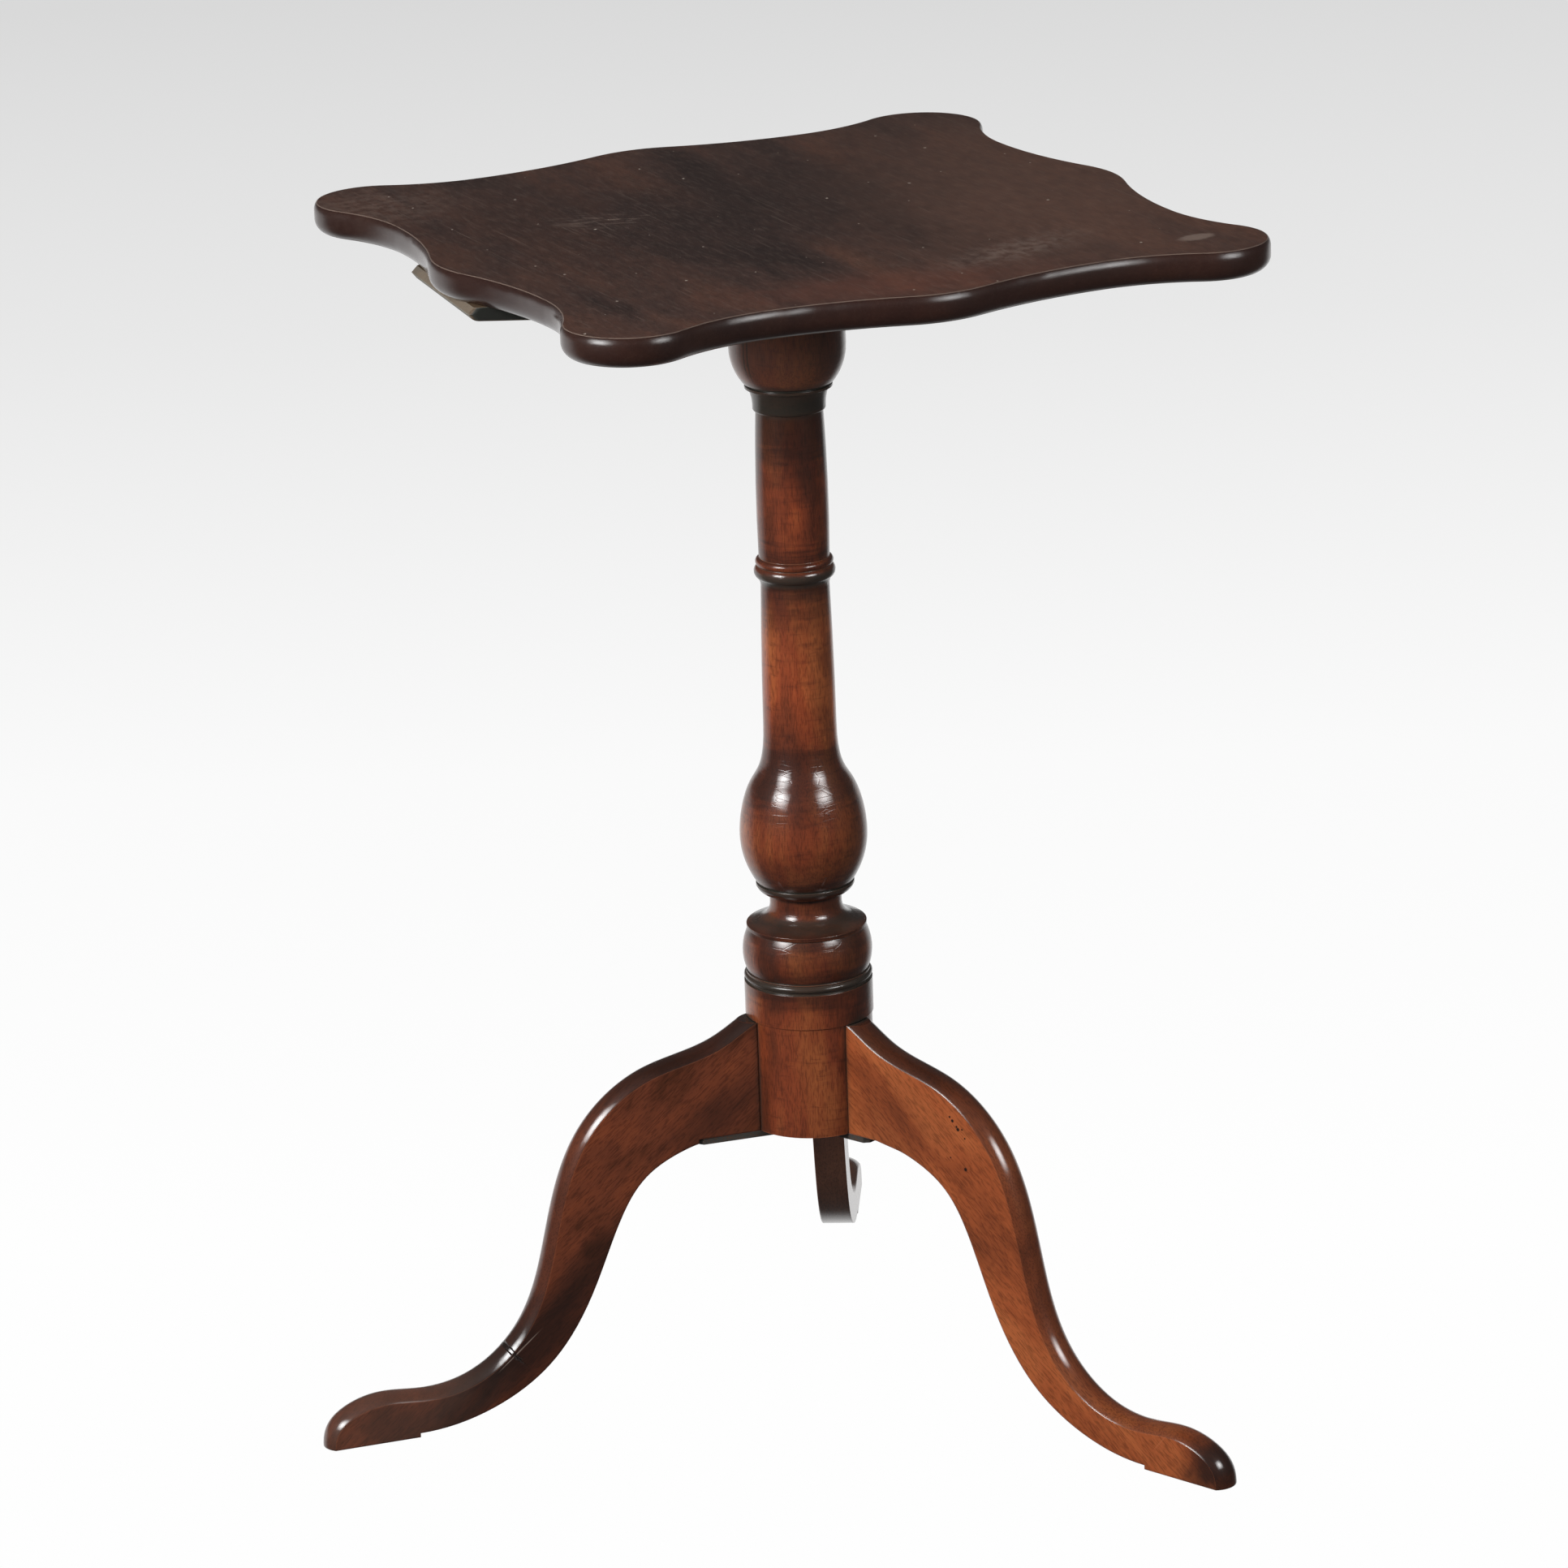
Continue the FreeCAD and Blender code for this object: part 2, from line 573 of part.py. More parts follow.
def leg_side():
    """Side of a leg pointing along +X as a closed wire, and the ridge along its top."""
    top = LEG_TOP - GLUE_GAP

    def from_drum(out, z):
        return V(DRUM_RADIUS + out, 0, z)

    def from_toe(back, z):
        return V(FOOT_REACH - back, 0, z)

    # The blank runs on into the drum, where it is cut away again
    run_in = LEG_THICK / 2
    under_end = from_drum(-run_in, DRUM_BOTTOM)
    ear_slope = LEG_HOLLOW_DROP / (LEG_HOLLOW_OUT - LEG_EAR_OUT)
    upper_end = from_drum(-run_in, top + ear_slope * (LEG_EAR_OUT + run_in))
    seat = from_drum(LEG_SEAT_OUT, DRUM_BOTTOM)
    thigh = from_drum(LEG_THIGH_OUT, DRUM_BOTTOM - LEG_THIGH_DROP)
    toe = from_toe(0, 0)
    heel = from_toe(SOLE_LENGTH, 0)
    heel_top = from_toe(SOLE_LENGTH, HEEL_STEP)
    ridge = spline_edge(
        [
            upper_end,
            from_drum(LEG_EAR_OUT, top),
            from_drum(LEG_HOLLOW_OUT, top - LEG_HOLLOW_DROP),
            from_drum(LEG_BROW_OUT, top - LEG_BROW_DROP),
            from_drum(LEG_KNEE_OUT, top - LEG_KNEE_DROP),
            from_toe(SHIN_BACK, SHIN_RISE),
            from_toe(ANKLE_BACK, ANKLE_RISE),
            from_toe(INSTEP_BACK, INSTEP_RISE),
            from_toe(FOOT_DIP_BACK, FOOT_DIP_RISE),
            from_toe(FOOT_TOP_BACK, FOOT_TOP_RISE),
            from_toe(TOE_BACK, TOE_RISE),
            toe,
        ],
        V(1, 0, -ear_slope),
        V(0, 0, -1),
    )
    lower = spline_edge(
        [
            heel_top,
            from_toe(HEEL_BACK, HEEL_RISE),
            from_toe(PASTERN_BACK, PASTERN_RISE),
            from_drum(LEG_CALF_OUT, DRUM_BOTTOM - LEG_CALF_DROP),
            from_drum(LEG_BEND_OUT, DRUM_BOTTOM - LEG_BEND_DROP),
            from_drum(LEG_HAM_OUT, DRUM_BOTTOM - LEG_HAM_DROP),
            thigh,
            seat,
        ],
        V(-1, 0, 0),
        seat - thigh,
    )
    wire = Part.Wire([
        Part.makeLine(under_end, upper_end),
        ridge,
        Part.makeLine(toe, heel),
        Part.makeLine(heel, heel_top),
        lower,
        Part.makeLine(seat, under_end),
    ])
    return wire, ridge


def crown_cutter(ridge):
    """What a spokeshave takes off above the ridge to leave the leg's top rounded across."""
    start = ridge.valueAt(ridge.FirstParameter)
    toe = ridge.valueAt(ridge.LastParameter)
    along = ridge.tangentAt(ridge.FirstParameter)
    outward = V(-along.z, 0, along.x)
    across = V(0, LEG_CROWN_RADIUS, 0)
    centre = start - outward * LEG_CROWN_RADIUS
    over = outward * 2 * LEG_CROWN_RADIUS
    section = Part.Wire([
        Part.Arc(centre - across, start, centre + across).toShape(),
        Part.makeLine(centre + across, centre + across + over),
        Part.makeLine(centre + across + over, centre - across + over),
        Part.makeLine(centre - across + over, centre - across),
    ])
    below_floor = Part.makeLine(toe, toe - V(0, 0, LEG_CROWN_RADIUS))
    sweep = Part.BRepOffsetAPI.MakePipeShell(Part.Wire([ridge, below_floor]))
    sweep.setBiNormalMode(V(0, 1, 0))
    sweep.add(section, False, False)
    sweep.build()
    sweep.makeSolid()
    return sweep.shape()


def leg_along_x():
    """Cabriole leg pointing along +X, hollowed to the drum, with its dovetail."""
    side, ridge = leg_side()
    blank = Part.Face(side).extrude(V(0, LEG_THICK, 0))
    blank.translate(V(0, -LEG_THICK / 2, 0))
    leg = blank.cut(crown_cutter(ridge))
    drum = Part.makeCylinder(DRUM_RADIUS + GLUE_GAP, HEIGHT)
    above = Part.makeCylinder(FOOT_REACH, HEIGHT, V(0, 0, LEG_TOP - GLUE_GAP))
    return leg.cut(drum).cut(above).fuse(dovetail(0, 0)).removeSplitter()


def arm_bed(reach):
    """Room for an arm of the spider plate along +X, as wide as a leg."""
    corner = V(0, -LEG_THICK / 2, DRUM_BOTTOM - PLATE_THICK)
    return Part.makeBox(reach + HOLE_GAP, LEG_THICK, PLATE_THICK, corner)


def legs():
    """Each leg by name, bedded for its arm of the plate, turned to its place and holed for its nail."""
    pattern = leg_along_x()
    holes = Part.makeCompound(nail_shanks(HOLE_GAP))
    placed = {}
    for name, angle in LEG_DIRECTIONS.items():
        bedded = pattern.cut(arm_bed(ARM_REACHES[name]))
        placed[name] = about_axis(bedded, angle).cut(holes)
    return placed


def nail_places():
    """Nails through the spider plate: one into each leg and one into the column between legs."""
    places = []
    directions = list(LEG_DIRECTIONS.values())
    following = directions[1:] + [directions[0] + 360]
    for angle, next_angle in zip(directions, following):
        for radius, degrees in ((NAIL_IN_LEG, angle), (NAIL_IN_COLUMN, (angle + next_angle) / 2)):
            direction = math.radians(degrees)
            places.append((radius * math.cos(direction), radius * math.sin(direction)))
    return places


def nail_shanks(gap):
    """Shanks of the nails, or with a gap the holes for them."""
    base = DRUM_BOTTOM - PLATE_THICK
    radius = NAIL_RADIUS + gap
    return [Part.makeCylinder(radius, NAIL_LENGTH + gap, V(x, y, base)) for x, y in nail_places()]


def spider_nails():
    """Nails with low domed heads under the plate."""
    base = DRUM_BOTTOM - PLATE_THICK
    nails = []
    for (x, y), shank in zip(nail_places(), nail_shanks(0)):
        dome = (NAIL_HEAD_RADIUS**2 + NAIL_HEAD_HEIGHT**2) / (2 * NAIL_HEAD_HEIGHT)
        ball = Part.makeSphere(dome, V(x, y, base - NAIL_HEAD_HEIGHT + dome))
        slab = Part.makeCylinder(NAIL_HEAD_RADIUS, NAIL_HEAD_HEIGHT, V(x, y, base - NAIL_HEAD_HEIGHT))
        nails.append(ball.common(slab).fuse(shank).removeSplitter())
    return nails


def plate_arm(reach):
    """Arm of the spider plate along +X, tapering to a tip with cut corners."""
    base = DRUM_BOTTOM - PLATE_THICK
    root = PLATE_ARM_ROOT / 2
    tip = PLATE_ARM_TIP / 2
    outline = [
        V(0, -root, base),
        V(reach - PLATE_TIP_CUT, -tip, base),
        V(reach, -tip + PLATE_TIP_CUT, base),
        V(reach, tip - PLATE_TIP_CUT, base),
        V(reach - PLATE_TIP_CUT, tip, base),
        V(0, root, base),
    ]
    return prism(outline, PLATE_THICK)


def spider_plate():
    """Flat iron plate with one arm under each leg."""
    plate = Part.makeCylinder(PLATE_HUB_RADIUS, PLATE_THICK, V(0, 0, DRUM_BOTTOM - PLATE_THICK))
    for name, angle in LEG_DIRECTIONS.items():
        plate = plate.fuse(about_axis(plate_arm(ARM_REACHES[name]), angle))
    return plate.removeSplitter().cut(Part.makeCompound(nail_shanks(HOLE_GAP)))


def stand():
    """Every piece of the stand by name."""
    screws = [screw(*place) for place in screw_places()]
    pieces = {
        "top_board": top_board(),
        "cleat": cleat(),
        "cleat_screws": Part.makeCompound(screws[:4]),
        "cleat_end_screws": Part.makeCompound(screws[4:]),
        "tenon_wedge": tenon_wedge(),
        "column": column(),
        "spider_plate": spider_plate(),
        "spider_nails": Part.makeCompound(spider_nails()),
    }
    pieces.update(legs())
    return pieces


os.makedirs("parts", exist_ok=True)
for name, shape in stand().items():
    shape.exportStep(os.path.join("parts", name + ".step"))
    print(name, len(shape.Solids), shape.isValid(), round(shape.Volume), shape.BoundBox)
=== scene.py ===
import math

import bpy
from mathutils import Matrix, Vector


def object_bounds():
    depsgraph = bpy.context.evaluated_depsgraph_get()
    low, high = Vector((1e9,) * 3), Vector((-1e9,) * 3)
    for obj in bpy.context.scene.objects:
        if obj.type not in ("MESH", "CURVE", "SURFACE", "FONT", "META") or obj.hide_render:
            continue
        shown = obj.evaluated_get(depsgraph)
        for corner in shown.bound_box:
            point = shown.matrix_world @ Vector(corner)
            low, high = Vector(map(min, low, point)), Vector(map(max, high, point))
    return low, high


# Finish, light and camera for a tripod candle stand: mahogany under old, darkened shellac,
# an iron spider plate from a forge, and steel screws in an unpolished cleat.
# Every piece of the stand is a CAD node, so this script only gives each node its surface.

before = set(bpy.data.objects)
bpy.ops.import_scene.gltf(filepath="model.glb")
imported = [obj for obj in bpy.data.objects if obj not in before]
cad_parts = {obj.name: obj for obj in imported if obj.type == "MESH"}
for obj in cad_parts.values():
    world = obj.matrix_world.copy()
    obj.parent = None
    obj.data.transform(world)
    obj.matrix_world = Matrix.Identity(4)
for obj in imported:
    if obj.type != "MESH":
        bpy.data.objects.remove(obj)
cad_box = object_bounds()

MM = 0.001
UP = (0, 0, 1)
LEVEL = (1, 1, 0)                  # a position times this has no height

# View of the photograph, which is square
PHOTO_PIXELS = 1932
FOCAL_PIXELS = 8825.8
SENSOR_MM = 36.0
CAMERA_DISTANCE = 3964.3 * MM      # from the column's axis, level
CAMERA_HEIGHT = 1618.5 * MM        # above the floor
CAMERA_TURN = 25.21                # degrees from square on to a side of the top
CAMERA_YAW = -0.15
CAMERA_PITCH = 17.56
CAMERA_ROLL = -1.99

# Places on the stand, in degrees about the axis and in mm
PHOTO_RIGHT = -CAMERA_TURN         # the side that is on the photograph's right
LEFT_LEG = 173.5
RIGHT_LEG = 293.5
REAR_LEG = 61.0
CLEAT = LEFT_LEG - 180             # runs in line with the left leg
TOP_GRAIN = 90
GRAIN_FALL = 40.0                  # degrees, of a leg's grain from the drum down to the toe
UPRIGHT = (0, math.radians(-90), 0)  # turn that takes X up along the column's grain
CROWN_FADE = (95, 150)             # reach over which hands have worn a leg's upper side
TOP_FACE = cad_box[1].z / MM
NEAR_SIDE = 9.5                    # half a leg's thickness
THROUGH = 40                       # half the depth of a mark, more than any surface is uneven

# Woods: dark, middle and pale tone of the figure in sRGB
COLUMN_WOOD = ("5F2D1A", "883F22", "A2582F")
LEFT_WOOD = ("482413", "683521", "793D24")
RIGHT_WOOD = ("72381D", "8F4826", "9F562F")
# The rear leg's tones are painted darker and greyer: painted shade and painted grey reflection
REAR_SHADED_WOOD = ("45291F", "5E3929", "6C432F")
TOP_WOOD = ("2E1F1B", "47312A", "5B3B2E")
UNDERSIDE_WOOD = ("4A3224", "573C2B", "573C2B")
CLEAT_WOOD = ("473727", "594632", "594632")

# Other colours in sRGB
SHELLAC_BLACK_AND_SHADE = "1C110E"           # shellac that has darkened where nothing rubs it; also painted shade on the column and the legs' crowns
# Dirt, also laid on as painted shade in grooves and where parts stand close
DIRT_AND_SHADE = "2A2924"
BRIGHT_EDGE = "A8623F"             # wood showing where an edge is rubbed through
HOLE_BLACK = "120C09"
CRACK_PALE = "A9968A"
TOP_BLACK = TOP_WOOD[0]
TOP_PALE = "5E4236"
TOP_RED = "63382A"
EDGE_RED = "200E0A"
HAZE_AND_SHEEN = "8D7B70"                    # bloom of spilt water and polish; also a painted pale reflection on the urn and a painted highlight along the top's arris
FLECK = "C8BAAE"
SIDE_DARK = "262723"
END_GRAIN = "76746C"
IRON_BLACK = "35322E"
IRON_WORN = "8A8683"
RUST = "4A2E1D"
STEEL_DULL = "7C776F"

# Detail of a noise, from rounded patches to crumbled ones, and how strong and how bent the fine part is
ROUNDED, STREAKY, BROKEN, CLOUDY, CRUMBLED = 1.0, 3.0, 4.0, 5.0, 6.0
FINE_PART = 0.55
BENT = 0.3

# Cloudy patterns: real length along the grain, width across it, and detail
FIGURE = (70 * MM, 26 * MM, CLOUDY)          # light and dark clouds in the wood
BOARD_FIGURE = (170 * MM, 48 * MM, CLOUDY)   # the same in the wide board of the top
GROWTH_LINES = (60 * MM, 2.4 * MM, STREAKY)
PORES = (5 * MM, 0.7 * MM, ROUNDED)          # really 0.2 mm wide, drawn coarser so that they show
LATHE_BARS = (5 * MM, 40 * MM, BROKEN)       # bars of darker polish around the shaft
WEAR = (14 * MM, 7 * MM, CRUMBLED)           # dull and bright spots of the worn top

# Patches: the same, and the values of the noise at which a patch begins and is full
SHADE_SMUDGES = (50 * MM, 30 * MM, BROKEN, 0.42, 0.62)       # patches of painted shade on the column's side towards the camera's right
LAPS = (2.5 * MM, 14 * MM, BROKEN, 0.54, 0.72)         # dashes around it where strokes of polish overlap
SCRATCHES = (90 * MM, 0.9 * MM, STREAKY, 0.64, 0.72)   # really finer, drawn coarser so that they show
SCUFFS = (16 * MM, 2.5 * MM, STREAKY, 0.50, 0.64)      # short scratches of the scuff, drawn coarser too
BLOOM = (7 * MM, 7 * MM, CRUMBLED, 0.36, 0.66)         # unevenness of a dried spill
RUBBED_DUST = (12 * MM, 2 * MM, BROKEN, 0.48, 0.70)    # streaks of dust rubbed into the top's grain

# Other real sizes
CRAZE_SPACING = 3.2 * MM           # fine cracks in old shellac, which run across the grain
CRAZE_LENGTH = 16 * MM
CRAZE_WIDTH = 0.05                 # of a crack, as a share of their spacing
HAND_RIPPLE = 22 * MM              # unevenness left by scraper and rubber
BAR_SWAY = 16 * MM                 # how far a lathe bar carries a tone up or down
FLECK_SPACING = 50 * MM            # paint specks on the top
FLECK_SIZE = 1.2 * MM              # radius of the largest
GRIT = 1.2 * MM                    # scale on forged iron
STAIN_SPOT = 2 * MM                # rust on the screws
GROOVE_REACH = 8 * MM              # dirt settles, and shade is painted, where something stands closer than this
EDGE_REACH = 0.9 * MM              # how far in from an edge the polish is rubbed thin
CRISP_REACH = 0.3 * MM             # rounding that catches the light where a tool left an edge crisp
WORN_REACH = 1.6 * MM              # the same along the crowns of the legs
RUBBED_REACH = 7 * MM              # the same on the edge of the top, which is rubbed round
FEELERS = 8                        # rays that feel for an edge or a groove

# Values of a noise at the figure's dark, middle and pale tone, and where rust begins and is full
FIGURE_STEPS = (0.34, 0.48, 0.64)
RUST_STEPS = (0.5, 0.7)

# Shade by a noise: its value where the shade is full, the factor there, and its value where the shade ends
LINE_SHADE = (0.32, 0.86, 0.60)
PORE_SHADE = (0.36, 0.62, 0.52)
WEAR_SHADE = (0.35, 0.72, 0.65)

# Cosines to a direction at which a side begins to count and counts in full
SHADED_SIDE_COSINES = (0.1, 0.9)          # the column's side towards the camera's right, painted in shade
OFF_FLANK = (0.92, 0.75)           # a leg's crown and underside, away from its flanks, darkened by black shellac and painted shade
OFF_FACE = (0.995, 0.97)           # the top's edge and underside, away from its face
ROUNDED_UP = (0.66, 0.74)          # between these two lies the arris around the face, where a highlight is painted
ROUNDED_OFF = (0.99, 0.94)
UNDERSIDE = (-0.75, -0.95)
CLEAT_SIDE = (0.6, 0.9)            # both the sides and the ends of the cleat
EDGE_TURN = (0.985, 0.90)          # between a rounded normal and the true one, on an edge

# Openness at which a groove begins and is full
GROOVE_SHUT = (0.88, 0.45)

# Reliefs: depth, and how strongly it shows
RIPPLE_RELIEF = {"Distance": 0.5 * MM, "Strength": 0.25}
PORE_RELIEF = {"Distance": 0.1 * MM, "Strength": 0.03}
CRAZE_RELIEF = {"Distance": 0.1 * MM, "Strength": 0.25}
OPEN_PORE_RELIEF = {"Distance": 0.2 * MM, "Strength": 0.5}   # in wood without polish
SCALE_RELIEF = {"Distance": 0.3 * MM, "Strength": 0.6}
MEND_RELIEF = {"Distance": 1.0 * MM}

# Gloss: roughness of shellac, and of the other surfaces
SHELLAC_IOR = 1.5
COLUMN_GLOSS = 0.12
LEG_GLOSS = 0.11
TOP_GLOSS = 0.11
WOOD_UNDER_SHELLAC = 0.5
WORN_FACE = 0.45
BARE_WOOD = 0.85
PLANED_OAK = 0.7
FORGED_IRON = 0.55
CUT_STEEL = 0.45
EDGE_COAT = 0.8                    # share of the shellac left on the top's edge
FACE_COAT = 0.25                   # and on its worn face
WORN_SHINE = 0.17                  # what the wood itself mirrors there
COATED_SHINE = 0.12                # and under a full coat

# How much of its tone a mark shows
SHADE_SMUDGE_SHARE = 0.5
LAP_SHARE = 0.3
URN_CRACK_SHARE = 0.8
MEND_SHARE = 0.8
CROWN_SHARES = (0.85, 0.5)         # by the drum, and where hands have worn the crown
COLUMN_EDGE_SHARE = 0.5            # wood that shows on a rubbed edge
LEG_EDGE_SHARE = 0.3
SCRATCH_SHARE = 0.28
SCUFF_SHARE = 0.45
DROP_SHARE = 0.5
FLECK_SHARE = 0.8
RUBBED_DUST_SHARE = 0.10
TOP_EDGE_SHARE = 0.85
ARRIS_HIGHLIGHT_SHARE = 0.45
CLEAT_EDGE_SHARE = 0.6
IRON_EDGE_SHARE = 0.6

# Tone of the column's shellac by height in mm: 0 where hands have worn it bright, 1 where it is black
COLUMN_TONES = (
    (158, 0.42), (176, 0.34), (233, 0.38), (244, 0.75), (252, 0.85), (259, 0.61), (266, 0.58),
    (274, 0.72), (281, 0.90), (288, 0.70), (299, 0.62), (306, 0.90), (316, 0.66), (326, 0.52),
    (338, 0.38), (350, 0.50), (362, 0.78), (386, 0.76), (397, 0.34), (417, 0.04), (440, 0.12),
    (458, 0.36), (472, 0.62), (488, 0.90), (499, 0.50), (507, 0.80), (513, 0.42), (528, 0.26),
    (550, 0.52), (570, 0.88), (592, 0.90), (612, 0.50),
)

# Hollows of the column that dirt has filled, and a pale veil on the urn that is painted reflection where the
# top shades it: height of the middle and half the height in mm, share and tone
GRIME_AND_SHEEN_BANDS = (
    (597, 9, 0.80, DIRT_AND_SHADE), (491, 4, 0.75, DIRT_AND_SHADE), (249, 3, 0.75, DIRT_AND_SHADE), (284, 3, 0.50, DIRT_AND_SHADE),
    # The band at 655 mm is a painted pale reflection on the urn, where the top shades it
    (305, 2, 0.60, DIRT_AND_SHADE), (655, 45, 0.16, HAZE_AND_SHEEN),
)
BAND_FADE = (1.4, 0.6)             # where a band begins and is full, as shares of half its height

# Rims of marks: how ragged and how soft they are, as shares of the radius, and tears per radius
LEG_CLOUD_RIM = (0.45, 0.7)
LEG_DUST_RIM = (0.4, 0.6)
CRACK_RIM = (0.3, 0.35)
URN_CRACK_RIM = (0.35, 0.35)
MEND_RIM = (0.5, 0.35)
HOLE_RIM = (0.2, 0.35)
TOP_CLOUD_RIM = (0.5, 0.9)
SPILL_RIM = (0.5, 0.8)
SCUFF_RIM = (0.5, 0.6)
DROP_RIM = (0.3, 0.3)
TEARS = 2.5

# Drying cracks in the urn: directions in degrees, then place and size in mm
URN_CRACKS = (197, 202)
CRACK_REACH, CRACK_HEIGHT = 33, 628
CRACK_RADII = (8, 0.5, 22)

# Marks on the legs: reach, height and place aside, radii along, across and square to the grain, rim,
# tone and share
LEFT_MARKS = (
    (176, 46, 0, (62, THROUGH, 20), LEG_CLOUD_RIM, SHELLAC_BLACK_AND_SHADE, 0.85),
    (132, 100, 0, (50, THROUGH, 12), LEG_CLOUD_RIM, SHELLAC_BLACK_AND_SHADE, 0.40),
    (66, 168, 0, (36, THROUGH, 16), LEG_CLOUD_RIM, SHELLAC_BLACK_AND_SHADE, 0.50),
    (240, 6, 0, (60, THROUGH, 16), LEG_CLOUD_RIM, SHELLAC_BLACK_AND_SHADE, 0.66),
    (272, 12, 0, (18, THROUGH, 16), LEG_CLOUD_RIM, SHELLAC_BLACK_AND_SHADE, 0.60),
    (262, 14, 0, (60, THROUGH, 34), LEG_DUST_RIM, HAZE_AND_SHEEN, 0.09),
    (189, 44, NEAR_SIDE, (15, 3, 0.4), CRACK_RIM, CRACK_PALE, 0.40),
)
RIGHT_MARKS = (
    (68, 172, 0, (38, THROUGH, 24), LEG_CLOUD_RIM, SHELLAC_BLACK_AND_SHADE, 0.30),
    (128, 112, 0, (24, THROUGH, 10), LEG_CLOUD_RIM, SHELLAC_BLACK_AND_SHADE, 0.20),
    (301, 14, 0, (15, THROUGH, 24), LEG_CLOUD_RIM, SHELLAC_BLACK_AND_SHADE, 0.90),
    (263, 19, 0, (0.5, 2 * NEAR_SIDE, 7), CRACK_RIM, BRIGHT_EDGE, 0.40),
)

# Mended break above the left foot: reach, height and place aside, then radii as above
MEND = (194, 44, NEAR_SIDE / 3)
MEND_RADII = (1.4, NEAR_SIDE, 12)

# Worm holes in the right leg's near side: reach, height and radius
WORM_HOLES = (
    (113, 185, 0.7), (115, 183, 1.0), (118, 180, 0.7), (119, 178.5, 1.1), (122, 179, 0.6),
    (124, 174, 0.6), (124, 155, 1.1), (113, 160, 0.5),
)
HOLE_DEPTH = 2

# Clouds on the top: place, turn in degrees, half the length and width, tone and share
TOP_CLOUDS = (
    (15, 36, 0, 120, 90, TOP_BLACK, 0.90),
    (-7, -178, -9, 80, 26, TOP_RED, 0.60),
    (150, -20, 70, 190, 80, TOP_PALE, 0.75),
    (-140, 50, 90, 150, 80, TOP_BLACK, 0.55),
)

# Dried spills on the top: place, turn in degrees, half the length and width, and share
SPILLS = (
    (74, -142, 21, 46, 15, 0.32),
    (-186, 158, 0, 40, 40, 0.20),
)

# Scuff and dried drop on the top: place, turn in degrees, half the length and width
SCUFF = (-90, 53, PHOTO_RIGHT, 24, 16)
DROP = (173, -171, 10, 11, 6)

# Sockets of a Mix node, which share their names: for colours, and for vectors
MIX_SHARE, MIX_A, MIX_B, MIX_COLOUR = 0, 6, 7, 2
MIX_VECTOR_A, MIX_VECTOR_B, MIX_VECTOR = 4, 5, 1

# Sockets of a Map Range node for plain numbers
VALUE, FROM_MIN, FROM_MAX, TO_MIN, TO_MAX = 0, 1, 2, 3, 4

# Softboxes: degrees to the right of the camera and above the middle of the stand, distance, width and
# height in metres, watts, and whether the polish mirrors them. The bounces stand for walls and paper.
SOFTBOXES = {
    "left_softbox": (-50, 30, 2.4, 1.5, 1.1, 60, True),
    "right_softbox": (50, 30, 2.4, 1.4, 1.0, 34, True),
    "left_bounce": (-55, 25, 3.0, 2.4, 2.0, 50, False),
    "back_bounce": (180, 8, 3.0, 2.4, 1.6, 60, False),
    "paper_bounce": (0, -85, 2.0, 2.0, 2.0, 8, False),
}

# Brightness of a softbox in the middle of its face, where the lamp is, and at its rim
HOT_CENTRE = 2.4
DIM_RIM = 0.2
RIM_REACH = 0.6                    # from the middle, as a share of the width
FACE_MIDDLE = (0.5, 0.5, 0)

# Brightness of the room, and of the white paper in it that shiny rims mirror: the cosines to its side
# and the sines of the height above level at which the paper begins and is full
ROOM_GLOW = 0.07
PAPER_GLOW = 0.75
PAPER_SIDE = 15                    # degrees to the left of straight behind the stand
PAPER_WIDTH = (0.35, 0.75)
PAPER_RISE = (0.10, -0.05)

# Grey of the paper by depth behind the column in metres, as the light falls off along it
PAPER_TONES = ((0.25, "FEFEFE"), (1.2, "FAFAFA"), (1.9, "F1F1F1"), (2.6, "E8E8E8"), (4.2, "D9D9D9"))
PAPER_HALF = 15.0                  # half the side of the sheet


def linear(hex_colour):
    """Linear colour of an sRGB hex value."""
    shares = [int(hex_colour[i:i + 2], 16) / 255 for i in (0, 2, 4)]
    return (*(c / 12.92 if c <= 0.04045 else ((c + 0.055) / 1.055) ** 2.4 for c in shares), 1.0)


def add(tree, kind, inputs=None, out=0, stops=None, **settings):
    """Adds a node and gives its output out. Inputs holds a value or a socket to link for each socket."""
    node = tree.nodes.new("ShaderNode" + kind)
    for name, value in settings.items():
        setattr(node, name, value)
    for key, value in (inputs or {}).items():
        if isinstance(value, bpy.types.NodeSocket):
            tree.links.new(value, node.inputs[key])
        else:
            node.inputs[key].default_value = value
    if stops:
        elements = node.color_ramp.elements
        while len(elements) < len(stops):
            elements.new(1.0)
        for element, (position, tone) in zip(elements, stops):
            element.position = position
            element.color = tone if isinstance(tone, tuple) else (tone, tone, tone, 1.0)
    return node.outputs[out] if node.outputs else None


def new_finish(name):
    """Empty material and its node tree."""
    finish = bpy.data.materials.new(name)
    finish.use_nodes = True
    finish.node_tree.nodes.clear()
    return finish, finish.node_tree


def level_direction(azimuth):
    """Level unit vector at an azimuth in degrees."""
    return (math.cos(math.radians(azimuth)), math.sin(math.radians(azimuth)), 0.0)


def level_turn(angle):
    """Turn about the upright by degrees, as a texture takes it."""
    return (0, 0, math.radians(angle))


def leg_grain(azimuth):
    """Turn that takes X along a leg's grain, outwards and down."""
    return (0, math.radians(GRAIN_FALL), math.radians(azimuth))


def off_axis(azimuth, reach, height, aside=0.0):
    """Point in mm: out along an azimuth, up, and aside to the left seen from the axis."""
    along = level_direction(azimuth)
    return (reach * along[0] - aside * along[1], reach * along[1] + aside * along[0], height)


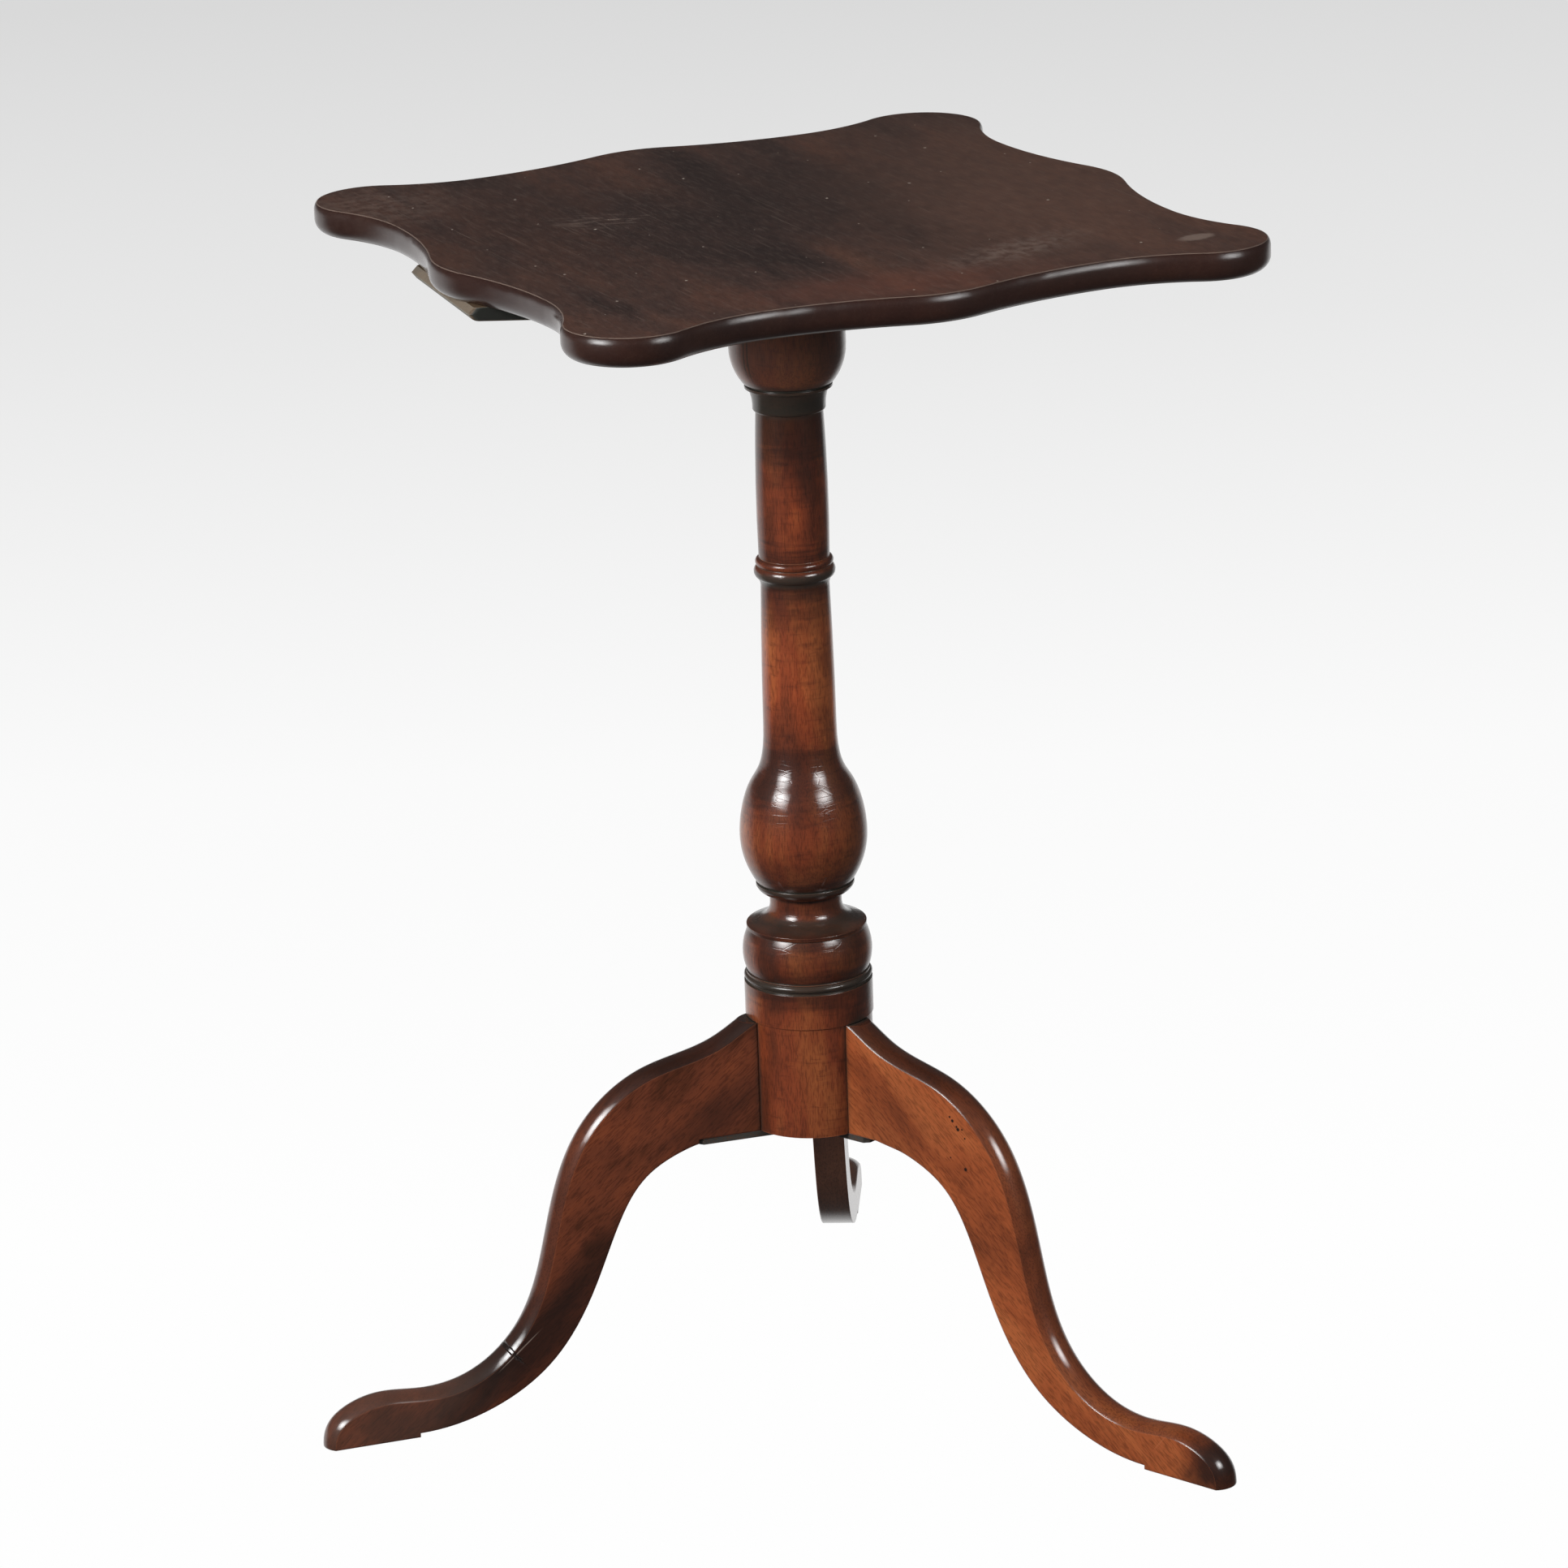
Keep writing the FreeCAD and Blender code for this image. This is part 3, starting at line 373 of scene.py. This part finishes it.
def along_grain(tree, turn, length, width):
    """Position measured in lengths along the grain and widths across it. Turn takes X to the grain."""
    return add(tree, "Mapping", {
        "Vector": add(tree, "TexCoord", out="Object"), "Rotation": turn, "Scale": (length, width, width),
    }, vector_type="TEXTURE")


def mottle(tree, turn, length, width, detail):
    """Cloudy noise whose patches are about length along the grain and width across it."""
    return add(tree, "TexNoise", {
        "Vector": along_grain(tree, turn, length, width), "Scale": 1.0, "Detail": detail,
        "Roughness": FINE_PART, "Distortion": BENT,
    })


def patches(tree, turn, length, width, detail, begin, full):
    """0 where a cloudy noise is below begin, and 1 in the patches where it is above full."""
    noise = mottle(tree, turn, length, width, detail)
    return add(tree, "MapRange", {
        VALUE: noise, FROM_MIN: begin, FROM_MAX: full,
    }, interpolation_type="SMOOTHSTEP")


def blotch(tree, centre, turn, radii, rim):
    """1 inside an ellipsoid with a ragged, soft rim and 0 outside. Its centre and radii are in mm."""
    ragged, soft = rim
    inside = add(tree, "Mapping", {
        "Vector": add(tree, "TexCoord", out="Object"), "Location": [c * MM for c in centre],
        "Rotation": turn, "Scale": [r * MM for r in radii],
    }, vector_type="TEXTURE")
    span = add(tree, "VectorMath", {0: inside}, "Value", operation="LENGTH")
    torn = add(tree, "TexNoise", {"Vector": inside, "Scale": TEARS, "Detail": BROKEN})
    offset = add(tree, "MapRange", {VALUE: torn, TO_MIN: -ragged, TO_MAX: ragged})
    edge = add(tree, "Math", {0: span, 1: offset}, operation="ADD")
    return add(tree, "MapRange", {
        VALUE: edge, FROM_MIN: 1.0 + soft, FROM_MAX: 1.0 - soft,
    }, interpolation_type="SMOOTHSTEP")


def on_top(tree, x, y, angle, half_length, half_width, rim):
    """1 inside a ragged, soft ellipse on the face of the top and 0 outside."""
    return blotch(tree, (x, y, TOP_FACE), level_turn(angle), (half_length, half_width, THROUGH), rim)


def facing(tree, direction, begin, full, both=False):
    """Goes from 0 to 1 as the cosine to a direction goes from begin to full. Both also counts its back."""
    normal = add(tree, "NewGeometry", out="Normal")
    cosine = add(tree, "VectorMath", {0: normal, 1: direction}, "Value", operation="DOT_PRODUCT")
    if both:
        cosine = add(tree, "Math", {0: cosine}, operation="ABSOLUTE")
    return add(tree, "MapRange", {
        VALUE: cosine, FROM_MIN: begin, FROM_MAX: full,
    }, interpolation_type="SMOOTHSTEP")


def shut_in_dirt_and_shade(tree):
    """1 in a groove and 0 in the open, from how much of its surroundings shuts a spot in: dirt and painted
    shade.
    """
    begin, full = GROOVE_SHUT
    openness = add(tree, "AmbientOcclusion", {"Distance": GROOVE_REACH}, "AO", samples=FEELERS)
    return add(tree, "MapRange", {
        VALUE: openness, FROM_MIN: begin, FROM_MAX: full,
    }, interpolation_type="SMOOTHSTEP")


def rubbed_edge(tree):
    """1 on edges and 0 on faces, from how the normal turns within reach of the edge."""
    rounded = add(tree, "Bevel", {"Radius": EDGE_REACH}, samples=FEELERS)
    return facing(tree, rounded, *EDGE_TURN)


def stained(tree, colour, tone, mask, share=1.0):
    """Colour with a tone laid over it, by its share where mask is 1."""
    cover = add(tree, "Math", {0: mask, 1: share}, operation="MULTIPLY")
    return add(
        tree, "Mix", {MIX_SHARE: cover, MIX_A: colour, MIX_B: linear(tone)}, MIX_COLOUR, data_type="RGBA",
    )


def darkened(tree, colour, noise, low, dark, high):
    """Colour darkened by the factor dark where noise is below low, and untouched where it is above high."""
    tone = add(tree, "MapRange", {VALUE: noise, FROM_MIN: low, FROM_MAX: high, TO_MIN: dark})
    return add(
        tree, "Mix", {MIX_SHARE: 1.0, MIX_A: colour, MIX_B: tone}, MIX_COLOUR,
        data_type="RGBA", blend_type="MULTIPLY",
    )


def figured(tree, turn, wood, figure=FIGURE):
    """Colour of a sawn hardwood in clouds of figure, growth lines and pores, and the pores by themselves."""
    clouds = mottle(tree, turn, *figure)
    stops = [(step, linear(tone)) for step, tone in zip(FIGURE_STEPS, wood)]
    colour = add(tree, "ValToRGB", {"Fac": clouds}, stops=stops)
    colour = darkened(tree, colour, mottle(tree, turn, *GROWTH_LINES), *LINE_SHADE)
    pores = mottle(tree, turn, *PORES)
    return darkened(tree, colour, pores, *PORE_SHADE), pores


def aged(tree, colour, worn_share):
    """Colour with the wood showing on rubbed edges, and dirt and painted shade in the grooves and where
    parts meet.
    """
    colour = stained(tree, colour, BRIGHT_EDGE, rubbed_edge(tree), worn_share)
    # Dirt and painted shade wherever nearby surfaces shut a spot in
    return stained(tree, colour, DIRT_AND_SHADE, shut_in_dirt_and_shade(tree))


def rippled(tree, pores, eased):
    """Normal of shellacked wood, from one with eased edges: ripples of hand work, pores not quite filled."""
    waves = add(tree, "TexNoise", {
        "Vector": add(tree, "TexCoord", out="Object"), "Scale": 1 / HAND_RIPPLE, "Detail": ROUNDED,
    })
    normal = add(tree, "Bump", {"Height": waves, "Normal": eased, **RIPPLE_RELIEF})
    return add(tree, "Bump", {"Height": pores, "Normal": normal, **PORE_RELIEF})


def crazed(tree, turn, normal):
    """Normal with the fine cracks of old, brittle shellac, which break up its highlights."""
    cracks = add(tree, "TexVoronoi", {
        "Vector": along_grain(tree, turn, CRAZE_SPACING, CRAZE_LENGTH), "Scale": 1.0,
    }, feature="DISTANCE_TO_EDGE")
    shell = add(tree, "MapRange", {VALUE: cracks, FROM_MAX: CRAZE_WIDTH}, interpolation_type="SMOOTHSTEP")
    return add(tree, "Bump", {"Height": shell, "Normal": normal, **CRAZE_RELIEF})


def shellacked(tree, colour, normal, gloss, roughness=WOOD_UNDER_SHELLAC, coat=1.0, shine=COATED_SHINE):
    """Ends the tree in wood under shellac: a clear resin that mirrors the lights and deepens the colour.

    Shine is what the wood itself mirrors: little under a full coat, more where the coat is worn.
    """
    surface = add(tree, "BsdfPrincipled", {
        "Base Color": colour, "Roughness": roughness, "IOR": SHELLAC_IOR, "Specular IOR Level": shine,
        "Normal": normal, "Coat Weight": coat, "Coat Roughness": gloss, "Coat IOR": SHELLAC_IOR,
        "Coat Normal": normal,
    })
    add(tree, "OutputMaterial", {"Surface": surface})


def toned(tree, colour, height):
    """Colour under the column's shellac, which is darker or brighter by height, in bars that sway."""
    bars = mottle(tree, UPRIGHT, *LATHE_BARS)
    sway = add(tree, "MapRange", {VALUE: bars, TO_MIN: -BAR_SWAY, TO_MAX: BAR_SWAY})
    swayed = add(tree, "Math", {0: height, 1: sway}, operation="ADD")
    low, high = COLUMN_TONES[0][0], COLUMN_TONES[-1][0]
    share = add(tree, "MapRange", {VALUE: swayed, FROM_MIN: low * MM, FROM_MAX: high * MM})
    dark = add(tree, "ValToRGB", {"Fac": share}, stops=[
        ((z - low) / (high - low), tone) for z, tone in COLUMN_TONES
    ])
    return stained(tree, colour, SHELLAC_BLACK_AND_SHADE, dark)


def grimed_and_sheened(tree, colour, height):
    """Colour with dirt in the column's hollows and a painted pale reflection on its urn."""
    begin, full = BAND_FADE
    for middle, half, share, tone in GRIME_AND_SHEEN_BANDS:
        above = add(tree, "Math", {0: height, 1: middle * MM}, operation="SUBTRACT")
        away = add(tree, "Math", {0: above}, operation="ABSOLUTE")
        in_band = add(tree, "MapRange", {
            VALUE: away, FROM_MIN: begin * half * MM, FROM_MAX: full * half * MM,
        }, interpolation_type="SMOOTHSTEP")
        # Dirt in the hollows; on the urn, a painted pale reflection
        colour = stained(tree, colour, tone, in_band, share)
    return colour


def shellacked_turning():
    """Turned mahogany under old shellac: glossy, orange where it is handled, black towards the mouldings,
    painted shade on one side.
    """
    finish, tree = new_finish("shellacked_turning")
    height = add(tree, "SeparateXYZ", {0: add(tree, "TexCoord", out="Object")}, "Z")
    colour, pores = figured(tree, UPRIGHT, COLUMN_WOOD)
    colour = toned(tree, colour, height)
    # Painted shade: the side towards the camera's right, away from the stronger light on the left, darkened
    # in patches
    shaded_side = facing(tree, level_direction(PHOTO_RIGHT), *SHADED_SIDE_COSINES)
    shade_smudges = patches(tree, UPRIGHT, *SHADE_SMUDGES)
    smudged_shade = add(tree, "Math", {0: shaded_side, 1: shade_smudges}, operation="MULTIPLY")
    colour = stained(tree, colour, SHELLAC_BLACK_AND_SHADE, smudged_shade, SHADE_SMUDGE_SHARE)
    colour = stained(tree, colour, SHELLAC_BLACK_AND_SHADE, patches(tree, UPRIGHT, *LAPS), LAP_SHARE)
    for azimuth in URN_CRACKS:
        place = off_axis(azimuth, CRACK_REACH, CRACK_HEIGHT)
        crack = blotch(tree, place, level_turn(azimuth), CRACK_RADII, URN_CRACK_RIM)
        colour = stained(tree, colour, HOLE_BLACK, crack, URN_CRACK_SHARE)
    colour = grimed_and_sheened(tree, aged(tree, colour, COLUMN_EDGE_SHARE), height)
    eased = add(tree, "Bevel", {"Radius": CRISP_REACH}, samples=FEELERS)
    shellacked(tree, colour, crazed(tree, UPRIGHT, rippled(tree, pores, eased)), COLUMN_GLOSS)
    return finish


def leg_marked(tree, colour, azimuth, marks):
    """Colour of a leg with its clouds of black shellac, dust, cracks or holes."""
    for reach, height, aside, radii, rim, tone, share in marks:
        mark = blotch(tree, off_axis(azimuth, reach, height, aside), leg_grain(azimuth), radii, rim)
        colour = stained(tree, colour, tone, mark, share)
    return colour


def leg_wood(name, azimuth, wood, marks=()):
    """Start of a leg's finish: sawn mahogany, its grain running down to the toe, black along its crown and
    underside: black shellac and painted shade.
    """
    finish, tree = new_finish(name)
    colour, pores = figured(tree, leg_grain(azimuth), wood)
    # Black shellac and painted shade on the crown and underside, away from the flanks
    crown = facing(tree, level_direction(azimuth + 90), *OFF_FLANK, both=True)
    place = add(tree, "TexCoord", out="Object")
    level = add(tree, "VectorMath", {0: place, 1: LEVEL}, operation="MULTIPLY")
    reach = add(tree, "VectorMath", {0: level}, "Value", operation="LENGTH")
    start, end = CROWN_FADE
    unworn, worn = CROWN_SHARES
    black = add(tree, "MapRange", {
        VALUE: reach, FROM_MIN: start * MM, FROM_MAX: end * MM, TO_MIN: unworn, TO_MAX: worn,
    })
    colour = stained(tree, colour, SHELLAC_BLACK_AND_SHADE, crown, black)
    colour = leg_marked(tree, colour, azimuth, marks)
    eased = add(tree, "Bevel", {"Radius": WORN_REACH}, samples=FEELERS)
    return finish, tree, colour, rippled(tree, pores, eased)


def left_leg():
    """Sawn mahogany under black-clouded shellac, with an old mended break above the foot."""
    finish, tree, colour, normal = leg_wood("shellacked_left_leg", LEFT_LEG, LEFT_WOOD, LEFT_MARKS)
    mend = blotch(tree, off_axis(LEFT_LEG, *MEND), leg_grain(LEFT_LEG), MEND_RADII, MEND_RIM)
    colour = stained(tree, colour, HOLE_BLACK, mend, MEND_SHARE)
    sunk = add(tree, "Bump", {"Height": mend, "Normal": normal, **MEND_RELIEF}, invert=True)
    shellacked(tree, aged(tree, colour, LEG_EDGE_SHARE), sunk, LEG_GLOSS)
    return finish


def right_leg():
    """Sawn mahogany under thinner shellac, brighter, with worm holes in its knee and a break in its foot."""
    finish, tree, colour, normal = leg_wood("shellacked_right_leg", RIGHT_LEG, RIGHT_WOOD, RIGHT_MARKS)
    holes = [
        (reach, height, -NEAR_SIDE, (radius, HOLE_DEPTH, radius), HOLE_RIM, HOLE_BLACK, 1.0)
        for reach, height, radius in WORM_HOLES
    ]
    colour = leg_marked(tree, colour, RIGHT_LEG, holes)
    shellacked(tree, aged(tree, colour, LEG_EDGE_SHARE), normal, LEG_GLOSS)
    return finish


def rear_leg():
    """Sawn mahogany under old shellac, painted darker and greyer than the other legs: painted shade and
    painted grey reflection.
    """
    finish, tree, colour, normal = leg_wood("shellacked_rear_leg", REAR_LEG, REAR_SHADED_WOOD)
    shellacked(tree, aged(tree, colour, LEG_EDGE_SHARE), normal, LEG_GLOSS)
    return finish


def flecked(tree, colour):
    """Colour of the top's face with specks of paint, each of its own size."""
    off = add(tree, "TexVoronoi", {
        "Vector": add(tree, "TexCoord", out="Object"), "Scale": 1 / FLECK_SPACING,
    }, "Distance", voronoi_dimensions="2D")
    size = add(tree, "SeparateColor", {0: off.node.outputs["Color"]}, "Red")
    measured = add(tree, "Math", {0: off, 1: size}, operation="DIVIDE")
    rim = FLECK_SIZE / FLECK_SPACING
    fleck = add(tree, "MapRange", {
        VALUE: measured, FROM_MIN: rim, FROM_MAX: rim / 2,
    }, interpolation_type="SMOOTHSTEP")
    return stained(tree, colour, FLECK, fleck, FLECK_SHARE)


def used(tree, colour, grain):
    """Colour of the top's face with what use has left on it: scratches, dried spills, a scuff and specks."""
    colour = stained(tree, colour, HAZE_AND_SHEEN, patches(tree, grain, *SCRATCHES), SCRATCH_SHARE)
    bloom = patches(tree, grain, *BLOOM)
    for *ellipse, share in SPILLS:
        dried = add(tree, "Math", {0: on_top(tree, *ellipse, SPILL_RIM), 1: bloom}, operation="MULTIPLY")
        colour = stained(tree, colour, HAZE_AND_SHEEN, dried, share)
    scuffs = patches(tree, level_turn(PHOTO_RIGHT), *SCUFFS)
    scuffed = add(tree, "Math", {0: scuffs, 1: on_top(tree, *SCUFF, SCUFF_RIM)}, operation="MULTIPLY")
    colour = stained(tree, colour, HAZE_AND_SHEEN, scuffed, SCUFF_SHARE)
    colour = stained(tree, colour, HAZE_AND_SHEEN, on_top(tree, *DROP, DROP_RIM), DROP_SHARE)
    return flecked(tree, colour)


def shellacked_top():
    """Planed mahogany board, its shellac worn to satin on top, glossy and black on the edge, bare below,
    with a painted highlight along the arris of its face.
    """
    finish, tree = new_finish("shellacked_top")
    grain = level_turn(TOP_GRAIN)
    off_face = facing(tree, UP, *OFF_FACE)
    below = facing(tree, UP, *UNDERSIDE)
    colour, pores = figured(tree, grain, TOP_WOOD, BOARD_FIGURE)
    for *ellipse, tone, share in TOP_CLOUDS:
        colour = stained(tree, colour, tone, on_top(tree, *ellipse, TOP_CLOUD_RIM), share)
    colour = darkened(tree, colour, mottle(tree, grain, *WEAR), *WEAR_SHADE)
    colour = stained(tree, colour, HAZE_AND_SHEEN, patches(tree, grain, *RUBBED_DUST), RUBBED_DUST_SHARE)
    colour = used(tree, colour, grain)
    colour = stained(tree, colour, EDGE_RED, off_face, TOP_EDGE_SHARE)
    bare = figured(tree, grain, UNDERSIDE_WOOD)[0]
    colour = add(tree, "Mix", {MIX_SHARE: below, MIX_A: colour, MIX_B: bare}, MIX_COLOUR, data_type="RGBA")
    # Painted highlight: a pale line along the rounded arris of the face
    up = facing(tree, UP, *ROUNDED_UP)
    off = facing(tree, UP, *ROUNDED_OFF)
    arris = add(tree, "Math", {0: up, 1: off}, operation="MULTIPLY")
    colour = stained(tree, colour, HAZE_AND_SHEEN, arris, ARRIS_HIGHLIGHT_SHARE)
    coat = add(tree, "MapRange", {VALUE: off_face, TO_MIN: FACE_COAT, TO_MAX: EDGE_COAT})
    covered = add(tree, "Math", {0: 1.0, 1: below}, operation="SUBTRACT")
    coat = add(tree, "Math", {0: coat, 1: covered}, operation="MULTIPLY")
    roughness = add(tree, "MapRange", {VALUE: below, TO_MIN: WORN_FACE, TO_MAX: BARE_WOOD})
    crisp = add(tree, "Bevel", {"Radius": CRISP_REACH}, samples=FEELERS)
    rubbed = add(tree, "Bevel", {"Radius": RUBBED_REACH}, samples=FEELERS)
    eased = add(
        tree, "Mix", {MIX_SHARE: off_face, MIX_VECTOR_A: crisp, MIX_VECTOR_B: rubbed}, MIX_VECTOR,
        data_type="VECTOR",
    )
    shellacked(tree, colour, rippled(tree, pores, eased), TOP_GLOSS, roughness, coat, WORN_SHINE)
    return finish


def bare_oak():
    """Planed oak that was never polished: dull, black along its sides and paler at its ends."""
    finish, tree = new_finish("bare_oak")
    colour, pores = figured(tree, level_turn(CLEAT), CLEAT_WOOD)
    side = facing(tree, level_direction(CLEAT + 90), *CLEAT_SIDE, both=True)
    colour = stained(tree, colour, SIDE_DARK, side)
    end = facing(tree, level_direction(CLEAT), *CLEAT_SIDE, both=True)
    colour = stained(tree, colour, END_GRAIN, end)
    colour = stained(tree, colour, END_GRAIN, rubbed_edge(tree), CLEAT_EDGE_SHARE)
    normal = add(tree, "Bump", {"Height": pores, **OPEN_PORE_RELIEF})
    surface = add(tree, "BsdfPrincipled", {"Base Color": colour, "Roughness": PLANED_OAK, "Normal": normal})
    add(tree, "OutputMaterial", {"Surface": surface})
    return finish


def forge_blackened_iron():
    """Wrought iron under black scale from the forge: dull, rusty in places, bare metal on its edges."""
    finish, tree = new_finish("forge_blackened_iron")
    scale = add(tree, "TexNoise", {
        "Vector": add(tree, "TexCoord", out="Object"), "Scale": 1 / GRIT, "Detail": BROKEN,
    })
    begin, full = RUST_STEPS
    rusty = add(tree, "MapRange", {VALUE: scale, FROM_MIN: begin, FROM_MAX: full})
    worn = rubbed_edge(tree)
    colour = stained(tree, linear(IRON_BLACK), RUST, rusty)
    colour = stained(tree, colour, IRON_WORN, worn, IRON_EDGE_SHARE)
    normal = add(tree, "Bump", {"Height": scale, **SCALE_RELIEF})
    surface = add(tree, "BsdfPrincipled", {
        "Base Color": colour, "Metallic": worn, "Roughness": FORGED_IRON, "Normal": normal,
    })
    add(tree, "OutputMaterial", {"Surface": surface})
    return finish


def dull_steel():
    """Cut steel screws, grey and a little rusty."""
    finish, tree = new_finish("dull_steel")
    spots = add(tree, "TexNoise", {
        "Vector": add(tree, "TexCoord", out="Object"), "Scale": 1 / STAIN_SPOT, "Detail": STREAKY,
    })
    colour = stained(tree, linear(STEEL_DULL), RUST, spots)
    surface = add(tree, "BsdfPrincipled", {"Base Color": colour, "Metallic": 1.0, "Roughness": CUT_STEEL})
    add(tree, "OutputMaterial", {"Surface": surface})
    return finish


def polish(finish, *nodes):
    """Gives CAD nodes their finish."""
    for node in nodes:
        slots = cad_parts[node].data.materials
        slots.clear()
        slots.append(finish)


def point_camera():
    """Camera at the photograph's viewpoint."""
    lens = bpy.data.cameras.new("photo_camera")
    lens.sensor_width = SENSOR_MM
    lens.lens = FOCAL_PIXELS / PHOTO_PIXELS * SENSOR_MM
    camera = bpy.data.objects.new("photo_camera", lens)
    bpy.context.collection.objects.link(camera)
    round_axis = Matrix.Rotation(math.radians(PHOTO_RIGHT), 4, "Z")
    stand_off = Matrix.Translation((0, -CAMERA_DISTANCE, CAMERA_HEIGHT))
    aim = Matrix.Rotation(math.radians(-CAMERA_YAW), 4, "Z")
    tilt = Matrix.Rotation(math.radians(90 - CAMERA_PITCH), 4, "X")
    roll = Matrix.Rotation(math.radians(CAMERA_ROLL), 4, "Z")
    camera.matrix_world = round_axis @ stand_off @ aim @ tilt @ roll
    bpy.context.scene.camera = camera


def hang_softbox(name, right_of_camera, elevation, distance, width, height, watts, mirrored):
    """Softbox that faces the middle of the stand, brightest in its own middle."""
    light = bpy.data.lights.new(name, "AREA")
    light.shape = "RECTANGLE"
    light.size, light.size_y = width, height
    light.energy = watts
    light.use_nodes = True
    tree = light.node_tree
    tree.nodes.clear()
    spot = add(tree, "NewGeometry", out="Parametric")
    off_centre = add(tree, "VectorMath", {0: spot, 1: FACE_MIDDLE}, "Value", operation="DISTANCE")
    glow = add(tree, "MapRange", {
        VALUE: off_centre, FROM_MAX: RIM_REACH, TO_MIN: HOT_CENTRE, TO_MAX: DIM_RIM,
    }, interpolation_type="SMOOTHSTEP")
    add(tree, "OutputLight", {"Surface": add(tree, "Emission", {"Strength": glow})})
    box = bpy.data.objects.new(name, light)
    bpy.context.collection.objects.link(box)
    middle = Vector((0, 0, (cad_box[0].z + cad_box[1].z) / 2))
    level = Vector(level_direction(PHOTO_RIGHT - 90 + right_of_camera))
    rise = math.radians(elevation)
    towards = level * math.cos(rise) + Vector(UP) * math.sin(rise)
    box.location = middle + towards * distance
    box.rotation_euler = (-towards).to_track_quat("-Z", "Y").to_euler()
    box.visible_glossy = mirrored
    box.visible_camera = False


def lay_paper():
    """Lit white paper under and behind the stand, too bright to take a shadow."""
    mesh = bpy.data.meshes.new("paper_floor")
    half = PAPER_HALF
    corners = [(-half, -half, 0), (half, -half, 0), (half, half, 0), (-half, half, 0)]
    mesh.from_pydata(corners, [], [(0, 1, 2, 3)])
    floor = bpy.data.objects.new("paper_floor", mesh)
    bpy.context.collection.objects.link(floor)
    finish, tree = new_finish("lit_paper")
    turned = add(tree, "Mapping", {
        "Vector": add(tree, "TexCoord", out="Object"), "Rotation": level_turn(PHOTO_RIGHT),
    }, vector_type="TEXTURE")
    depth = add(tree, "SeparateXYZ", {0: turned}, "Y")
    near, far = PAPER_TONES[0][0], PAPER_TONES[-1][0]
    share = add(tree, "MapRange", {VALUE: depth, FROM_MIN: near, FROM_MAX: far})
    colour = add(tree, "ValToRGB", {"Fac": share}, stops=[
        ((metres - near) / (far - near), linear(grey)) for metres, grey in PAPER_TONES
    ])
    lit = add(tree, "Emission", {"Color": colour})
    clear = add(tree, "BsdfTransparent")
    from_below = add(tree, "NewGeometry", out="Backfacing")
    add(tree, "OutputMaterial", {"Surface": add(tree, "MixShader", {0: from_below, 1: lit, 2: clear})})
    mesh.materials.append(finish)
    floor.visible_glossy = False
    floor.visible_diffuse = False
    floor.visible_shadow = False


def light_studio():
    """Softboxes in front, light thrown back by walls and paper, and a dim room with white paper behind."""
    for name, setting in SOFTBOXES.items():
        hang_softbox(name, *setting)
    room = bpy.data.worlds.new("dim_room")
    room.use_nodes = True
    tree = room.node_tree
    tree.nodes.clear()
    towards = add(tree, "TexCoord", out="Generated")
    paper_side = level_direction(PHOTO_RIGHT + 90 + PAPER_SIDE)
    depth = add(tree, "VectorMath", {0: towards, 1: paper_side}, "Value", operation="DOT_PRODUCT")
    height = add(tree, "SeparateXYZ", {0: towards}, "Z")
    begin, full = PAPER_WIDTH
    behind = add(tree, "MapRange", {
        VALUE: depth, FROM_MIN: begin, FROM_MAX: full,
    }, interpolation_type="SMOOTHSTEP")
    begin, full = PAPER_RISE
    low = add(tree, "MapRange", {
        VALUE: height, FROM_MIN: begin, FROM_MAX: full, TO_MAX: PAPER_GLOW,
    }, interpolation_type="SMOOTHSTEP")
    paper = add(tree, "Math", {0: behind, 1: low}, operation="MULTIPLY")
    tone = add(tree, "Math", {0: paper, 1: ROOM_GLOW}, operation="ADD")
    add(tree, "OutputWorld", {"Surface": add(tree, "Background", {"Color": tone})})
    bpy.context.scene.world = room
    bpy.context.scene.view_settings.view_transform = "Standard"


point_camera()
lay_paper()
light_studio()

polish(shellacked_top(), "top_board")
polish(shellacked_turning(), "column")
polish(left_leg(), "leg_left")
polish(right_leg(), "leg_right")
polish(rear_leg(), "leg_rear")
polish(bare_oak(), "cleat", "tenon_wedge")
polish(forge_blackened_iron(), "spider_plate", "spider_nails")
polish(dull_steel(), "cleat_screws", "cleat_end_screws")
